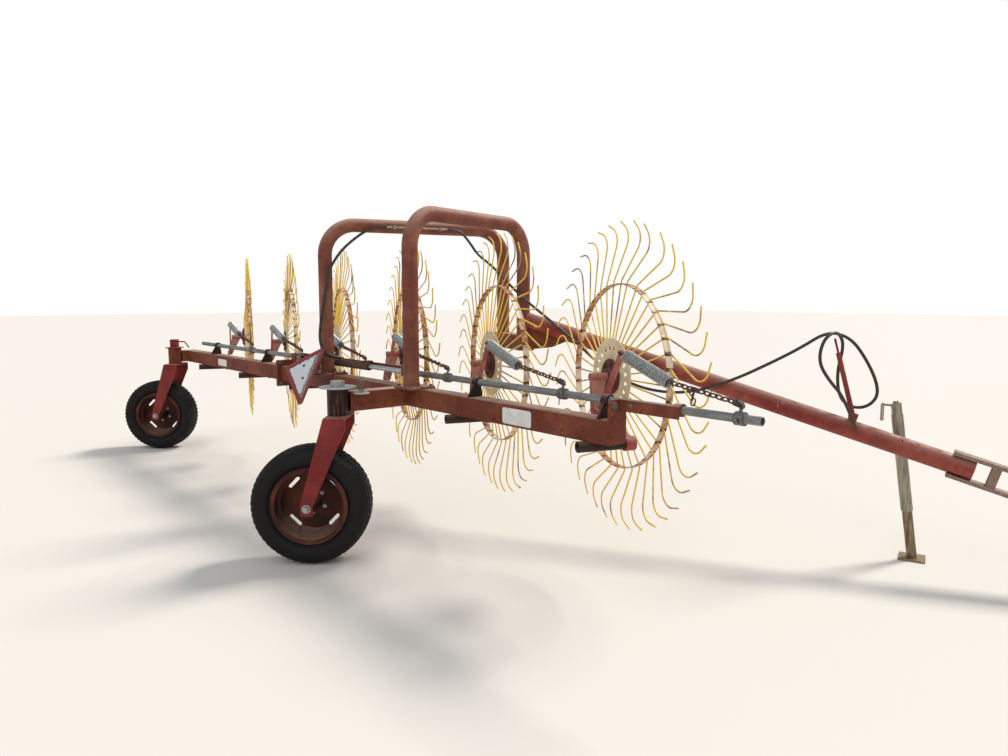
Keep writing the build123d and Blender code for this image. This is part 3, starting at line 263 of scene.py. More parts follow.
# Jack, and the hose's rigid pipe with its clips: zinc-plated steel tube gone warm grey, with streaks
# that run down it. The jack's leg has lost its zinc and is stained brown, like old brass.
zinc = weathered_metal("streaked_zinc_plate", "#b3ab9b", "#7c7262", "#6b4f38", stained=0.4,
                       metallic=0.75, rough=0.34, drawn=(1.0, 1.0, 0.07))
leg_steel = weathered_metal("stained_leg_steel", "#a3916f", "#5a4c39", "#3f3024", stained=0.37,
                            metallic=0.8, rough=0.32, drawn=(1.0, 1.0, 0.06))
dress(leg_steel, "jack_zinc", "jack_leg")
dress(zinc, "jack_zinc", "jack_head", "jack_mount", "jack_tube", "hose_conduit", "hose_clips",
      "hose_fitting")

# Cylinder, sign bracket and hose coupler: bare steel with an even brown rust, dull all over. Only the
# cylinder's rod is chrome plated, and still bright.
rusty = weathered_metal("rusty_steel", "#5f4a3b", "#3a2a21", "#6e3d22", stained=0.26,
                        metallic=0.25, rough=0.7)
dress(rusty, "rusty_steel", "sign_bracket", "hose_coupler", "cylinder_barrel")
chrome = weathered_metal("chrome_plate", "#c4c6c8", "#b3b5b7", "#6b5a48", stained=0.44,
                         metallic=1.0, rough=0.14)
dress(chrome, "chrome", "cylinder_rod")

# Clamps and hitch: clamps bolted round the lift pipe, their zinc tarnished dark and patchy, and two
# flat straps of bare steel at the tongue's end, rubbed pale in places and brown with rust.
clamp_zinc = weathered_metal("tarnished_clamp_zinc", "#8c8b85", "#4a463f", "#3a2a21", stained=0.27,
                             metallic=0.45, rough=0.5)
dress(clamp_zinc, "galvanised", "lift_clamps")
strap_steel = weathered_metal("worn_strap_steel", "#9c8474", "#6e574a", "#74432a", stained=0.32,
                              metallic=0.3, rough=0.58)
dress(strap_steel, "rusty_steel", "hitch")

# Road rims: pressed steel rims with slots, in dark brown-red enamel that has dulled and lets the rust
# through in blotches.
road_rim_paint = worn_paint("brown_red_rim_enamel", "#3b1a11", "#66351f", "#1d0c08", "#643519", rusted=0.32,
                            gloss=0.6, top_dust_and_light=0.6)
dress(road_rim_paint, "road_rim", "caster_rim_front", "caster_rim_rear")

# Bright parts: the near caster's retaining disc and cap, its lock tab, the lug bolts and the axle nuts
# are newer zinc plate, pale and smooth. The head tube under the disc is black with grease that has run
# down it in streaks some 25 mm wide and 200 mm long.
bright_zinc = weathered_metal("bright_zinc_plate", "#b6b8b6", "#8b8c88", "#7a5f48", stained=0.36,
                              metallic=0.45, rough=0.42)
greasy_head = worn_paint("greasy_head_enamel", "#5c2519", "#6b3223", "#1c0e0b", "#3a2016", rusted=0.34,
                         gloss=0.35, top_dust_and_light=0.5)
tree = greasy_head.node_tree
shader = tree.nodes["Principled BSDF"]
under = shader.inputs["Base Color"].links[0].from_socket
at = add(tree, "ShaderNodeTexCoord").outputs["Object"]
drawn_out = add(tree, "ShaderNodeVectorMath", {0: at, 1: (1.0, 1.0, 0.12)}, operation="MULTIPLY")
runs = add(tree, "ShaderNodeTexNoise", {"Vector": drawn_out.outputs[0], "Scale": 42.0, "Detail": 4.0,
                                        "Roughness": 0.6})
greased = add(tree, "ShaderNodeMapRange", {0: runs.outputs[0], 1: 0.42, 2: 0.52, 3: 0.0, 4: 0.95})
blackened = add(tree, "ShaderNodeMix", {0: greased.outputs[0], 6: under, 7: tone("#0d0a09")},
                data_type="RGBA")
tree.links.new(blackened.outputs[2], shader.inputs["Base Color"])

near_pivot = (0.779757, -1.095168)
lock_pin = (0.897757, -1.020168)
disc_bottom = 0.9445
head_radius, head_top = 0.062, 0.93
tab_radius, tab_bottom = 0.075, 0.9205
fork_mesh = nodes["caster_fork_front"].data
fork_mesh.materials.append(bright_zinc)
for face in fork_mesh.polygons:
    face.material_index = int(face.center.z > disc_bottom)
outrigger_mesh = nodes["outrigger_front"].data
outrigger_mesh.materials.append(greasy_head)
outrigger_mesh.materials.append(bright_zinc)
for face in outrigger_mesh.polygons:
    middle = face.center
    from_pivot = math.hypot(middle.x - near_pivot[0], middle.y - near_pivot[1])
    from_lock = math.hypot(middle.x - lock_pin[0], middle.y - lock_pin[1])
    if from_lock < tab_radius and middle.z > tab_bottom:
        face.material_index = 2
    elif from_pivot < head_radius and middle.z < head_top:
        face.material_index = 1
    else:
        face.material_index = 0

# Road tyres: two worn implement tyres with five ribs round the tread, each on a rim that five lug bolts
# hold to the hub. They are moulded rubber, nearly black and dull, with brown dust in the grooves and on
# the flanks.


def piece(name, data, body, slot, *materials):
    """An object for a finished mesh that rides on a body."""
    for material in materials:
        data.materials.append(material)
    made = bpy.data.objects.new(name, data)
    bpy.context.scene.collection.objects.link(made)
    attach(made, body)
    return made


def lathe(name, profile, steps, turns_of_u=1.0):
    """A closed profile of (along the axle, radius) points turned about the y axis, with a UV map."""
    data = bpy.data.meshes.new(name)
    count = len(profile)
    angles = [2 * math.pi * i / steps for i in range(steps)]
    verts = [(r * math.cos(a), y, r * math.sin(a)) for a in angles for y, r in profile]
    faces = []
    for i in range(steps):
        here = i * count
        there = (i + 1) % steps * count
        for j in range(count):
            beside = (j + 1) % count
            faces.append((here + j, here + beside, there + beside, there + j))
    data.from_pydata(verts, [], faces)
    layer = data.uv_layers.new(name="UVMap")
    for i in range(steps):
        for j in range(count):
            first = 4 * (i * count + j)
            for corner, (di, dj) in enumerate(((0, 0), (0, 1), (1, 1), (1, 0))):
                layer.data[first + corner].uv = ((i + di) * turns_of_u / steps, (j + dj) / count)
    data.polygons.foreach_set("use_smooth", [True] * len(data.polygons))
    data.set_sharp_from_angle(angle=math.radians(38))
    data.validate()
    return data


def hex_head(mesh, place, across, tall, washer=1.35):
    """A hexagon bolt head or nut on a washer; the place's z axis points out of the surface."""
    for radius, sides, low, high in ((across * washer / 2, 16, 0.0, tall * 0.22),
                                     (across * 0.577, 6, tall * 0.22, tall * 0.86),
                                     (across * 0.5, 12, tall * 0.8, tall)):
        narrowed = radius * (0.94 if sides > 6 else 1)
        level = Matrix.Translation((0, 0, (low + high) / 2))
        bmesh.ops.create_cone(mesh, cap_ends=True, segments=sides, radius1=radius, radius2=narrowed,
                              depth=high - low, matrix=place @ level)


def smooth_mesh(name, made, angle=40):
    """A mesh from one in the making, with rounded faces shaded smooth."""
    bmesh.ops.recalc_face_normals(made, faces=made.faces)
    data = bpy.data.meshes.new(name)
    made.to_mesh(data)
    made.free()
    data.polygons.foreach_set("use_smooth", [True] * len(data.polygons))
    data.set_sharp_from_angle(angle=math.radians(angle))
    return data


tyre_rubber = bpy.data.materials.new("dusty_tyre_rubber")
tyre_rubber.use_nodes = True
tree = tyre_rubber.node_tree
shader = tree.nodes["Principled BSDF"]
at = add(tree, "ShaderNodeTexCoord").outputs["Object"]
# Dust lies in clouds of 70 mm; the grit is drawn 5 mm wide, coarser than real, so that it shows
cloud = add(tree, "ShaderNodeTexNoise", {"Vector": at, "Scale": 14.0, "Detail": 6.0, "Roughness": 0.65})
grit = add(tree, "ShaderNodeTexNoise", {"Vector": at, "Scale": 210.0, "Detail": 3.0, "Roughness": 0.7})
mud = add(tree, "ShaderNodeMath", {0: cloud.outputs[0], 1: grit.outputs[0]}, operation="MULTIPLY")
share = add(tree, "ShaderNodeMapRange", {0: mud.outputs[0], 1: 0.2, 2: 0.36, 3: 0.05, 4: 0.75})
colour = add(tree, "ShaderNodeMix", {0: share.outputs[0], 6: tone("#080707"), 7: tone("#211c19")},
             data_type="RGBA")
tree.links.new(colour.outputs[2], shader.inputs["Base Color"])
shader.inputs["Specular IOR Level"].default_value = 0.25
sheen = add(tree, "ShaderNodeMapRange", {0: mud.outputs[0], 1: 0.2, 2: 0.36, 3: 0.55, 4: 0.9})
tree.links.new(sheen.outputs[0], shader.inputs["Roughness"])
# Fine cuts run across the tread, 84 of them in a turn, one every 24 mm
tread_map = add(tree, "ShaderNodeUVMap", uv_map="UVMap")
uv = add(tree, "ShaderNodeSeparateXYZ", {0: tread_map.outputs[0]})
sipe = add(tree, "ShaderNodeMath", {0: uv.outputs[0], 1: 1.0}, operation="PINGPONG")
off_crown = add(tree, "ShaderNodeMath", {0: uv.outputs[1], 1: 0.5}, operation="SUBTRACT")
from_crown = add(tree, "ShaderNodeMath", {0: off_crown.outputs[0]}, operation="ABSOLUTE")
on_tread = add(tree, "ShaderNodeMath", {0: from_crown.outputs[0], 1: 0.22}, operation="LESS_THAN")
groove = add(tree, "ShaderNodeMapRange", {0: sipe.outputs[0], 1: 0.0, 2: 0.3, 3: -1.0, 4: 0.0})
cut = add(tree, "ShaderNodeMath", {0: groove.outputs[0], 1: on_tread.outputs[0]}, operation="MULTIPLY")
relief = add(tree, "ShaderNodeMath", {0: grit.outputs[0], 1: 0.4, 2: cut.outputs[0]},
             operation="MULTIPLY_ADD")
bump = add(tree, "ShaderNodeBump", {"Strength": 0.6, "Distance": 0.003, "Height": relief.outputs[0]})
tree.links.new(bump.outputs[0], shader.inputs["Normal"])

# From the bead outwards over the flank to the shoulder, as (along the axle, radius)
flank = [(-0.0757, 0.1903), (-0.0757, 0.209), (-0.0835, 0.2185), (-0.0925, 0.2225), (-0.0975, 0.2315),
         (-0.1005, 0.237), (-0.1012, 0.2485), (-0.1025, 0.2525), (-0.1025, 0.2655), (-0.1005, 0.281),
         (-0.0955, 0.2955), (-0.0935, 0.2965), (-0.0905, 0.3010), (-0.083, 0.3076), (-0.070, 0.3128)]
rib_top, rib_foot, groove_depth = 0.0105, 0.0125, 0.0075
ribs = []
for middle in (-0.058, -0.029, 0.0, 0.029, 0.058):
    crown = 0.3195 - 1.3 * middle * middle
    ribs += [(middle - rib_foot, crown - groove_depth), (middle - rib_top, crown),
             (middle + rib_top, crown), (middle + rib_foot, crown - groove_depth)]
tyre_profile = flank + ribs + [(-y, r) for y, r in reversed(flank)]
profile_middle = (len(tyre_profile) - 1) / 2

# Both casters stand turned by 50 degrees; the near tyre is worn further, so its notches are shallow
caster_turn = math.radians(50)
trail, tyre_radius = 0.15, 0.32
lug_circle, lug_face = 0.0635, 0.036
axle_half = 0.1372
for label, pivot, notch_depth in (("front", near_pivot, 0.0025), ("rear", (-3.019243, -0.794168), 0.006)):
    wheel_place = (Matrix.Translation((*pivot, 0)) @ Matrix.Rotation(caster_turn, 4, "Z")
                   @ Matrix.Translation((-trail, 0, tyre_radius)))
    tyre = lathe("ribbed_tyre_" + label, tyre_profile, 336, 168.0)
    # The outer ribs and shoulders have 56 notches in a turn, staggered from side to side
    for vertex in tyre.vertices:
        step, place = divmod(vertex.index, len(tyre_profile))
        from_middle = abs(place - profile_middle)
        stagger = 3 if place > profile_middle else 0
        if 5.5 < from_middle < 13 and (step + stagger) % 6 < 2:
            radius = math.hypot(vertex.co.x, vertex.co.z)
            vertex.co.x *= 1 - notch_depth / radius
            vertex.co.z *= 1 - notch_depth / radius
    tyre.transform(wheel_place)
    tyre_piece = piece("ribbed_tyre_" + label, tyre, "caster_wheel_" + label, "tyre_rubber", tyre_rubber)
    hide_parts("caster_tyre_" + label)
    lugs = bmesh.new()
    for j in range(5):
        a = math.radians(72 * j - 26)
        lug_at = Matrix.Translation((lug_circle * math.cos(a), lug_face, lug_circle * math.sin(a)))
        hex_head(lugs, wheel_place @ lug_at @ Matrix.Rotation(math.radians(90), 4, "X"), 0.019, 0.012)
    piece("lug_bolts_" + label, smooth_mesh("lug_bolts_" + label, lugs, 30), "caster_wheel_" + label,
          "galvanised", bright_zinc)
    nuts = bmesh.new()
    for side in (-1, 1):
        nut_at = Matrix.Translation((0, side * axle_half, 0))
        outwards = Matrix.Rotation(math.radians(-90 * side), 4, "X")
        hex_head(nuts, wheel_place @ nut_at @ outwards, 0.028, 0.020, 1.75)
    piece("axle_nuts_" + label, smooth_mesh("axle_nuts_" + label, nuts, 30), "caster_" + label,
          "galvanised", bright_zinc)

# Rake wheels: forty sprung wire tines on each, threaded through a steel rim band and held under a
# pierced centre disc, on a hub bolted to it. The tines are yellow enamel on drawn wire, worn to brown
# and grey in patches, and rust bleeds from every tine over the cream rim.
tine_paint = bpy.data.materials.new("worn_yellow_tine_enamel")
tine_paint.use_nodes = True
tree = tine_paint.node_tree
shader = tree.nodes["Principled BSDF"]
at = add(tree, "ShaderNodeTexCoord").outputs["Object"]
# Worn patches come every 280 mm, with specks of 8 mm
patch = add(tree, "ShaderNodeTexNoise", {"Vector": at, "Scale": 3.6, "Detail": 5.0, "Roughness": 0.72})
share = add(tree, "ShaderNodeMapRange", {0: patch.outputs[0], 1: 0.53, 2: 0.6, 3: 0.0, 4: 1.0})
speck = add(tree, "ShaderNodeTexNoise", {"Vector": at, "Scale": 120.0, "Detail": 3.0, "Roughness": 0.7})
bare = add(tree, "ShaderNodeMix", {0: speck.outputs[0], 6: tone("#b3a28c"), 7: tone("#6a4f3a")},
           data_type="RGBA")
yellow = add(tree, "ShaderNodeMix", {0: speck.outputs[0], 6: tone("#f2cf46"), 7: tone("#dfae2c")},
             data_type="RGBA")
colour = add(tree, "ShaderNodeMix", {0: share.outputs[0], 6: yellow.outputs[2], 7: bare.outputs[2]},
             data_type="RGBA")
tree.links.new(colour.outputs[2], shader.inputs["Base Color"])
shader.inputs["Roughness"].default_value = 0.45

# Cream enamel on a rolled band, matt with chalk; the rust sits at each tine's hole, 40 in a turn, and
# bleeds from there in stains some 200 mm long
rim_paint = bpy.data.materials.new("rust_stained_cream_enamel")
rim_paint.use_nodes = True
tree = rim_paint.node_tree
shader = tree.nodes["Principled BSDF"]
at = add(tree, "ShaderNodeTexCoord").outputs["Object"]
rim_map = add(tree, "ShaderNodeUVMap", uv_map="UVMap")
uv = add(tree, "ShaderNodeSeparateXYZ", {0: rim_map.outputs[0]})
turn = add(tree, "ShaderNodeMath", {0: uv.outputs[0], 1: 0.5}, operation="PINGPONG")
cloud = add(tree, "ShaderNodeTexNoise", {"Vector": at, "Scale": 26.0, "Detail": 6.0, "Roughness": 0.7})
grit = add(tree, "ShaderNodeTexNoise", {"Vector": at, "Scale": 150.0, "Detail": 3.0, "Roughness": 0.7})
near_tine = add(tree, "ShaderNodeMath", {0: turn.outputs[0], 1: 2.2, 2: cloud.outputs[0]},
                operation="MULTIPLY_ADD")
stain = add(tree, "ShaderNodeMapRange", {0: near_tine.outputs[0], 1: 0.6, 2: 0.8, 3: 1.0, 4: 0.0})
chalk = add(tree, "ShaderNodeMix", {0: cloud.outputs[0], 6: tone("#d0b38e"), 7: tone("#efe3cd")},
            data_type="RGBA")
oxide = add(tree, "ShaderNodeMix", {0: grit.outputs[0], 6: tone("#5b3320"), 7: tone("#221612")},
            data_type="RGBA")
wide = add(tree, "ShaderNodeTexNoise", {"Vector": at, "Scale": 5.0, "Detail": 5.0, "Roughness": 0.7})
bleed = add(tree, "ShaderNodeMapRange", {0: wide.outputs[0], 1: 0.44, 2: 0.56, 3: 0.0, 4: 0.9})
streaky = add(tree, "ShaderNodeMix", {0: bleed.outputs[0], 6: chalk.outputs[2], 7: tone("#a35a22")},
              data_type="RGBA")
colour = add(tree, "ShaderNodeMix", {0: stain.outputs[0], 6: streaky.outputs[2], 7: oxide.outputs[2]},
             data_type="RGBA")
tree.links.new(colour.outputs[2], shader.inputs["Base Color"])
shader.inputs["Roughness"].default_value = 0.62
bump = add(tree, "ShaderNodeBump", {"Strength": 0.3, "Distance": 0.0006, "Height": grit.outputs[0]})
tree.links.new(bump.outputs[0], shader.inputs["Normal"])

# The pressed discs are cream, rubbed clean; the hubs are a dark red that has hardly faded
disc_paint = worn_paint("cream_disc_enamel", "#e0cd9e", "#eee1bf", "#b59c6f", "#7a4a28", rusted=0.335,
                        gloss=0.45, top_dust_and_light=0.1)
hub_paint = worn_paint("dark_red_hub_enamel", "#5b2a27", "#6b3a35", "#351513", "#452418", rusted=0.37,
                       gloss=0.4, top_dust_and_light=0.3)

# One tine in the wheel's plane: from under the disc to the rim band, then a kink of 45 degrees, a
# straight run, a bow of 95 degrees and a straight tip that ends on a circle 1517 mm across
tine_line = [(0.176, -0.0405, 0.0), (0.452, -0.0012, 0.0)]
heading, x, z = 0.0, 0.460, 0.0
kink, straight, bow, tip = [(0.008, -15)] * 3, [(0.200, 0)], [(0.0116, 9.5)] * 10, [(0.05, 0)] * 6
for step, turned in kink + straight + bow + tip:
    tine_line.append((x, 0.0, z))
    heading += math.radians(turned)
    x += step * math.cos(heading)
    z += step * math.sin(heading)
tine_line = [q for q in tine_line if math.hypot(q[0], q[2]) < 0.752]
last = Vector(tine_line[-1])
way = (last - Vector(tine_line[-2])).normalized()
while math.hypot(last.x, last.z) < 0.7585:
    last += way * 0.002
tine_line.append(tuple(last))

# The ring: the tine as wire, copied round the axle, each copy bent aside by chance
tine_group = bpy.data.node_groups.new("ring_of_tines", "GeometryNodeTree")
for name, kind, value in (("Tine", "NodeSocketGeometry", None), ("Count", "NodeSocketInt", 40),
                          ("Wire", "NodeSocketFloat", 0.0041), ("Bent", "NodeSocketFloat", 0.016),
                          ("Seed", "NodeSocketInt", 4), ("Finish", "NodeSocketMaterial", None)):
    socket = tine_group.interface.new_socket(name, in_out="INPUT", socket_type=kind)
    if value is not None:
        socket.default_value = value
tine_group.interface.new_socket("Ring", in_out="OUTPUT", socket_type="NodeSocketGeometry")
given = add(tine_group, "NodeGroupInput")
outline = add(tine_group, "GeometryNodeCurvePrimitiveCircle", {"Resolution": 6,
                                                               "Radius": given.outputs["Wire"]})
run = add(tine_group, "GeometryNodeMeshToCurve", {0: given.outputs["Tine"]})
tube = add(tine_group, "GeometryNodeCurveToMesh", {"Curve": run.outputs[0],
                                                   "Profile Curve": outline.outputs[0],
                                                   "Fill Caps": True})
dots = add(tine_group, "GeometryNodePoints", {"Count": given.outputs["Count"]})
share = add(tine_group, "ShaderNodeMath", {0: 2 * math.pi, 1: given.outputs["Count"]}, operation="DIVIDE")
order = add(tine_group, "GeometryNodeInputIndex")
angle = add(tine_group, "ShaderNodeMath", {0: order.outputs[0], 1: share.outputs[0]}, operation="MULTIPLY")
low = add(tine_group, "ShaderNodeMath", {0: given.outputs["Bent"], 1: -1.0}, operation="MULTIPLY")
wild = add(tine_group, "FunctionNodeRandomValue", {2: low.outputs[0], 3: given.outputs["Bent"],
                                                   "Seed": given.outputs["Seed"]}, data_type="FLOAT")
other = add(tine_group, "ShaderNodeMath", {0: given.outputs["Seed"], 1: 11.0}, operation="ADD")
aside = add(tine_group, "FunctionNodeRandomValue", {2: low.outputs[0], 3: given.outputs["Bent"],
                                                    "Seed": other.outputs[0]}, data_type="FLOAT")
about = add(tine_group, "ShaderNodeMath", {0: angle.outputs[0], 1: wild.outputs[1]}, operation="ADD")
halved = add(tine_group, "ShaderNodeMath", {0: aside.outputs[1], 1: 0.45}, operation="MULTIPLY")
spin = add(tine_group, "ShaderNodeCombineXYZ", {1: about.outputs[0]})
tilt = add(tine_group, "ShaderNodeCombineXYZ", {2: halved.outputs[0]})
leant = add(tine_group, "GeometryNodeInstanceOnPoints", {"Points": dots.outputs[0],
                                                         "Instance": tube.outputs[0],
                                                         "Rotation": spin.outputs[0]})
bent = add(tine_group, "GeometryNodeRotateInstances", {0: leant.outputs[0], "Rotation": tilt.outputs[0]})
real = add(tine_group, "GeometryNodeRealizeInstances", {0: bent.outputs[0]})
finished = add(tine_group, "GeometryNodeSetMaterial", {0: real.outputs[0],
                                                       "Material": given.outputs["Finish"]})
add(tine_group, "NodeGroupOutput", {0: finished.outputs[0]})

# Rim band, hub flange and hub barrel, as (along the axle, radius)
rim_profile = [(-0.0165, 0.4525), (-0.0165, 0.4575), (-0.0145, 0.4580), (-0.0105, 0.4560),
               (0.0105, 0.4560), (0.0145, 0.4580), (0.0165, 0.4575), (0.0165, 0.4525),
               (0.0125, 0.4522), (-0.0125, 0.4522)]
hub_profile = [(-0.056, 0.0162), (-0.056, 0.084), (-0.0555, 0.0865), (-0.0538, 0.088),
               (-0.0462, 0.088), (-0.0462, 0.0162)]
barrel_profile = [(-0.0718, 0.0162), (-0.0718, 0.036), (-0.0705, 0.0392), (-0.0685, 0.04),
                  (-0.0555, 0.04), (-0.0555, 0.0162)]


def ring_points(radius, count):
    """Points spread evenly round a circle."""
    return [(radius * math.cos(2 * math.pi * i / count), radius * math.sin(2 * math.pi * i / count))
            for i in range(count)]


def ring_loop(mesh, points, y):
    """A closed loop of edges in the wheel's plane."""
    made = [mesh.verts.new((px, y, pz)) for px, pz in points]
    return [mesh.edges.new((a, b)) for a, b in zip(made, made[1:] + made[:1])]


# The disc's plate has a hole for the spindle and twenty holes shaped like drops, points outwards
disc_back, disc_thick = -0.042, 0.004
disc_mesh = bmesh.new()
edges = ring_loop(disc_mesh, ring_points(0.1895, 120), disc_back)
edges += ring_loop(disc_mesh, ring_points(0.0165, 32), disc_back)
drop_side = [(0.1288, 0.0056), (0.1318, 0.0092), (0.1365, 0.0105), (0.1415, 0.0096), (0.1470, 0.0066),
             (0.1530, 0.0028)]
drop = [(0.128, 0.0)] + drop_side + [(0.1570, 0.0)] + [(u, -v) for u, v in reversed(drop_side)]
for k in range(20):
    a = 2 * math.pi * (k + 0.5) / 20
    turned_drop = [(u * math.cos(a) - v * math.sin(a), u * math.sin(a) + v * math.cos(a)) for u, v in drop]
    edges += ring_loop(disc_mesh, turned_drop, disc_back)
bmesh.ops.triangle_fill(disc_mesh, use_beauty=True, edges=edges)
flat = list(disc_mesh.faces)
grown = bmesh.ops.extrude_face_region(disc_mesh, geom=flat)
grown_verts = [v for v in grown["geom"] if isinstance(v, bmesh.types.BMVert)]
bmesh.ops.translate(disc_mesh, verts=grown_verts, vec=(0, -disc_thick, 0))
bmesh.ops.recalc_face_normals(disc_mesh, faces=disc_mesh.faces)

bolt_circle, flange_face = 0.066, -0.056
hub_bolts = bmesh.new()
for k in range(6):
    a = 2 * math.pi * (k + 0.25) / 6
    bolt_at = Matrix.Translation((bolt_circle * math.cos(a), flange_face, bolt_circle * math.sin(a)))
    hex_head(hub_bolts, bolt_at @ Matrix.Rotation(math.radians(90), 4, "X"), 0.016, 0.009)

tine_mesh = bpy.data.meshes.new("one_tine")
tine_mesh.from_pydata(tine_line, [(i, i + 1) for i in range(len(tine_line) - 1)], [])
tine_object = bpy.data.objects.new("one_tine", tine_mesh)
bpy.context.scene.collection.objects.link(tine_object)
ring = tine_object.modifiers.new("ring", "NODES")
ring.node_group = tine_group
inputs = {item.name: item.identifier for item in tine_group.interface.items_tree
          if item.in_out == "INPUT"}
ring[inputs["Finish"]] = tine_paint

# Six wheels stand in a row, each turned 19.2 degrees from it
hub_pitch = 0.9537
wheel_turn = math.radians(-19.2)
for k in range(6):
    hub_place = (Matrix.Translation((1.908757 - hub_pitch * k, -0.138168, 1.035))
                 @ Matrix.Rotation(wheel_turn, 4, "Z"))
    body = "rake_wheel_%d" % (k + 1)
    ring[inputs["Seed"]] = 4 + k
    tine_object.update_tag()
    bpy.context.view_layer.update()
    grown_tines = tine_object.evaluated_get(bpy.context.evaluated_depsgraph_get())
    tines = bpy.data.meshes.new_from_object(grown_tines)
    tines.transform(hub_place)
    tines.polygons.foreach_set("use_smooth", [True] * len(tines.polygons))
    tines.materials.clear()
    tine_piece = piece("wire_tines_%d" % (k + 1), tines, body, "wheel_paint", tine_paint)
    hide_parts(body)
    rim = lathe("rim_band_%d" % (k + 1), rim_profile, 160, 40.0)
    rim.transform(hub_place)
    piece("rim_band_%d" % (k + 1), rim, body, "wheel_paint", rim_paint)
    disc = bpy.data.meshes.new("centre_disc_%d" % (k + 1))
    disc_mesh.to_mesh(disc)
    disc.transform(hub_place)
    piece("centre_disc_%d" % (k + 1), disc, body, "wheel_paint", disc_paint)
    for part, profile in (("hub_flange", hub_profile), ("hub_barrel", barrel_profile)):
        turned = lathe("%s_%d" % (part, k + 1), profile, 64)
        turned.transform(hub_place)
        piece("%s_%d" % (part, k + 1), turned, body, "crank_paint", hub_paint)
    heads = bpy.data.meshes.new("hub_bolts_%d" % (k + 1))
    hub_bolts.to_mesh(heads)
    heads.transform(hub_place)
    piece("hub_bolts_%d" % (k + 1), heads, body, "rusty_steel", rusty)
bpy.data.objects.remove(tine_object)

# Hangers: each a coiled tension spring and a length of chain, pinned to its clamp on the lift pipe and to
# its crank's lever. The springs are zinc-plated wire gone dull grey; the chain is bare, rusted steel.
spring_zinc = weathered_metal("dull_spring_zinc", "#b4b9b8", "#858784", "#5f4a3a", stained=0.4,
                              metallic=0.75, rough=0.3)
chain_steel = weathered_metal("rusted_chain_steel", "#6e5544", "#3f2d22", "#7c4a2c", stained=0.25,
                              metallic=0.3, rough=0.7)


def wire(mesh, points, radius, sides, closed=False):
    """A round wire through the given points, added to a mesh in the making."""
    path = [Vector(q) for q in points]
    count = len(path)
    angles = [2 * math.pi * j / sides for j in range(sides)]
    rings = []
    side = None
    for i, here in enumerate(path):
        before = path[i - 1] if i or closed else here
        after = path[(i + 1) % count] if i < count - 1 or closed else here
        along = (after - before).normalized()
        if side is None:
            side = along.orthogonal().normalized()
        side = (side - along * side.dot(along)).normalized()
        up = along.cross(side)
        rings.append([mesh.verts.new(here + (side * math.cos(a) + up * math.sin(a)) * radius)
                      for a in angles])
    for a, b in zip(rings, rings[1:] + (rings[:1] if closed else [])):
        for j in range(sides):
            mesh.faces.new((a[j], a[(j + 1) % sides], b[(j + 1) % sides], b[j]))
    if not closed:
        mesh.faces.new(list(reversed(rings[0])))
        mesh.faces.new(rings[-1])


def strip(mesh, place, outline, low, high):
    """A flat plate with the given outline in the place's xy plane, from one height to the other."""
    bottom = [mesh.verts.new(place @ Vector((px, py, low))) for px, py in outline]
    top = [mesh.verts.new(place @ Vector((px, py, high))) for px, py in outline]
    mesh.faces.new(list(reversed(bottom)))
    mesh.faces.new(top)
    for i in range(len(outline)):
        j = (i + 1) % len(outline)
        mesh.faces.new((bottom[i], bottom[j], top[j], top[i]))


def rounded_end(radius, reach):
    """The outline of a strap with a half-round end about the origin, cut square at its reach."""
    angles = [math.radians(a) for a in range(90, 271, 20)]
    rounded = [(radius * math.cos(a), radius * math.sin(a)) for a in angles]
    return rounded + [(reach, -radius), (reach, radius)]


def axes(origin, x_way, z_way):
    """A frame at a point with its x and z axes along the given directions."""
    x_axis = Vector(x_way).normalized()
    z_axis = (Vector(z_way) - x_axis * Vector(z_way).dot(x_axis)).normalized()
    y_axis = z_axis.cross(x_axis)
    return Matrix.Translation(origin) @ Matrix((x_axis, y_axis, z_axis)).transposed().to_4x4()


# A spring's 26 turns lie 11.5 mm apart, so that dark gaps show between them as on the real ones
spring_length, turns, steps, wound, spring_wire = 0.298, 26, 18, 0.0255, 0.0037
chain_wire, chain_bend, chain_pitch = 0.0034, 0.0098, 0.035
bar_in = 0.016
fork_width, fork_plate = 0.0045, 0.0095
finger_middle, finger_half = 0.0125, 0.002

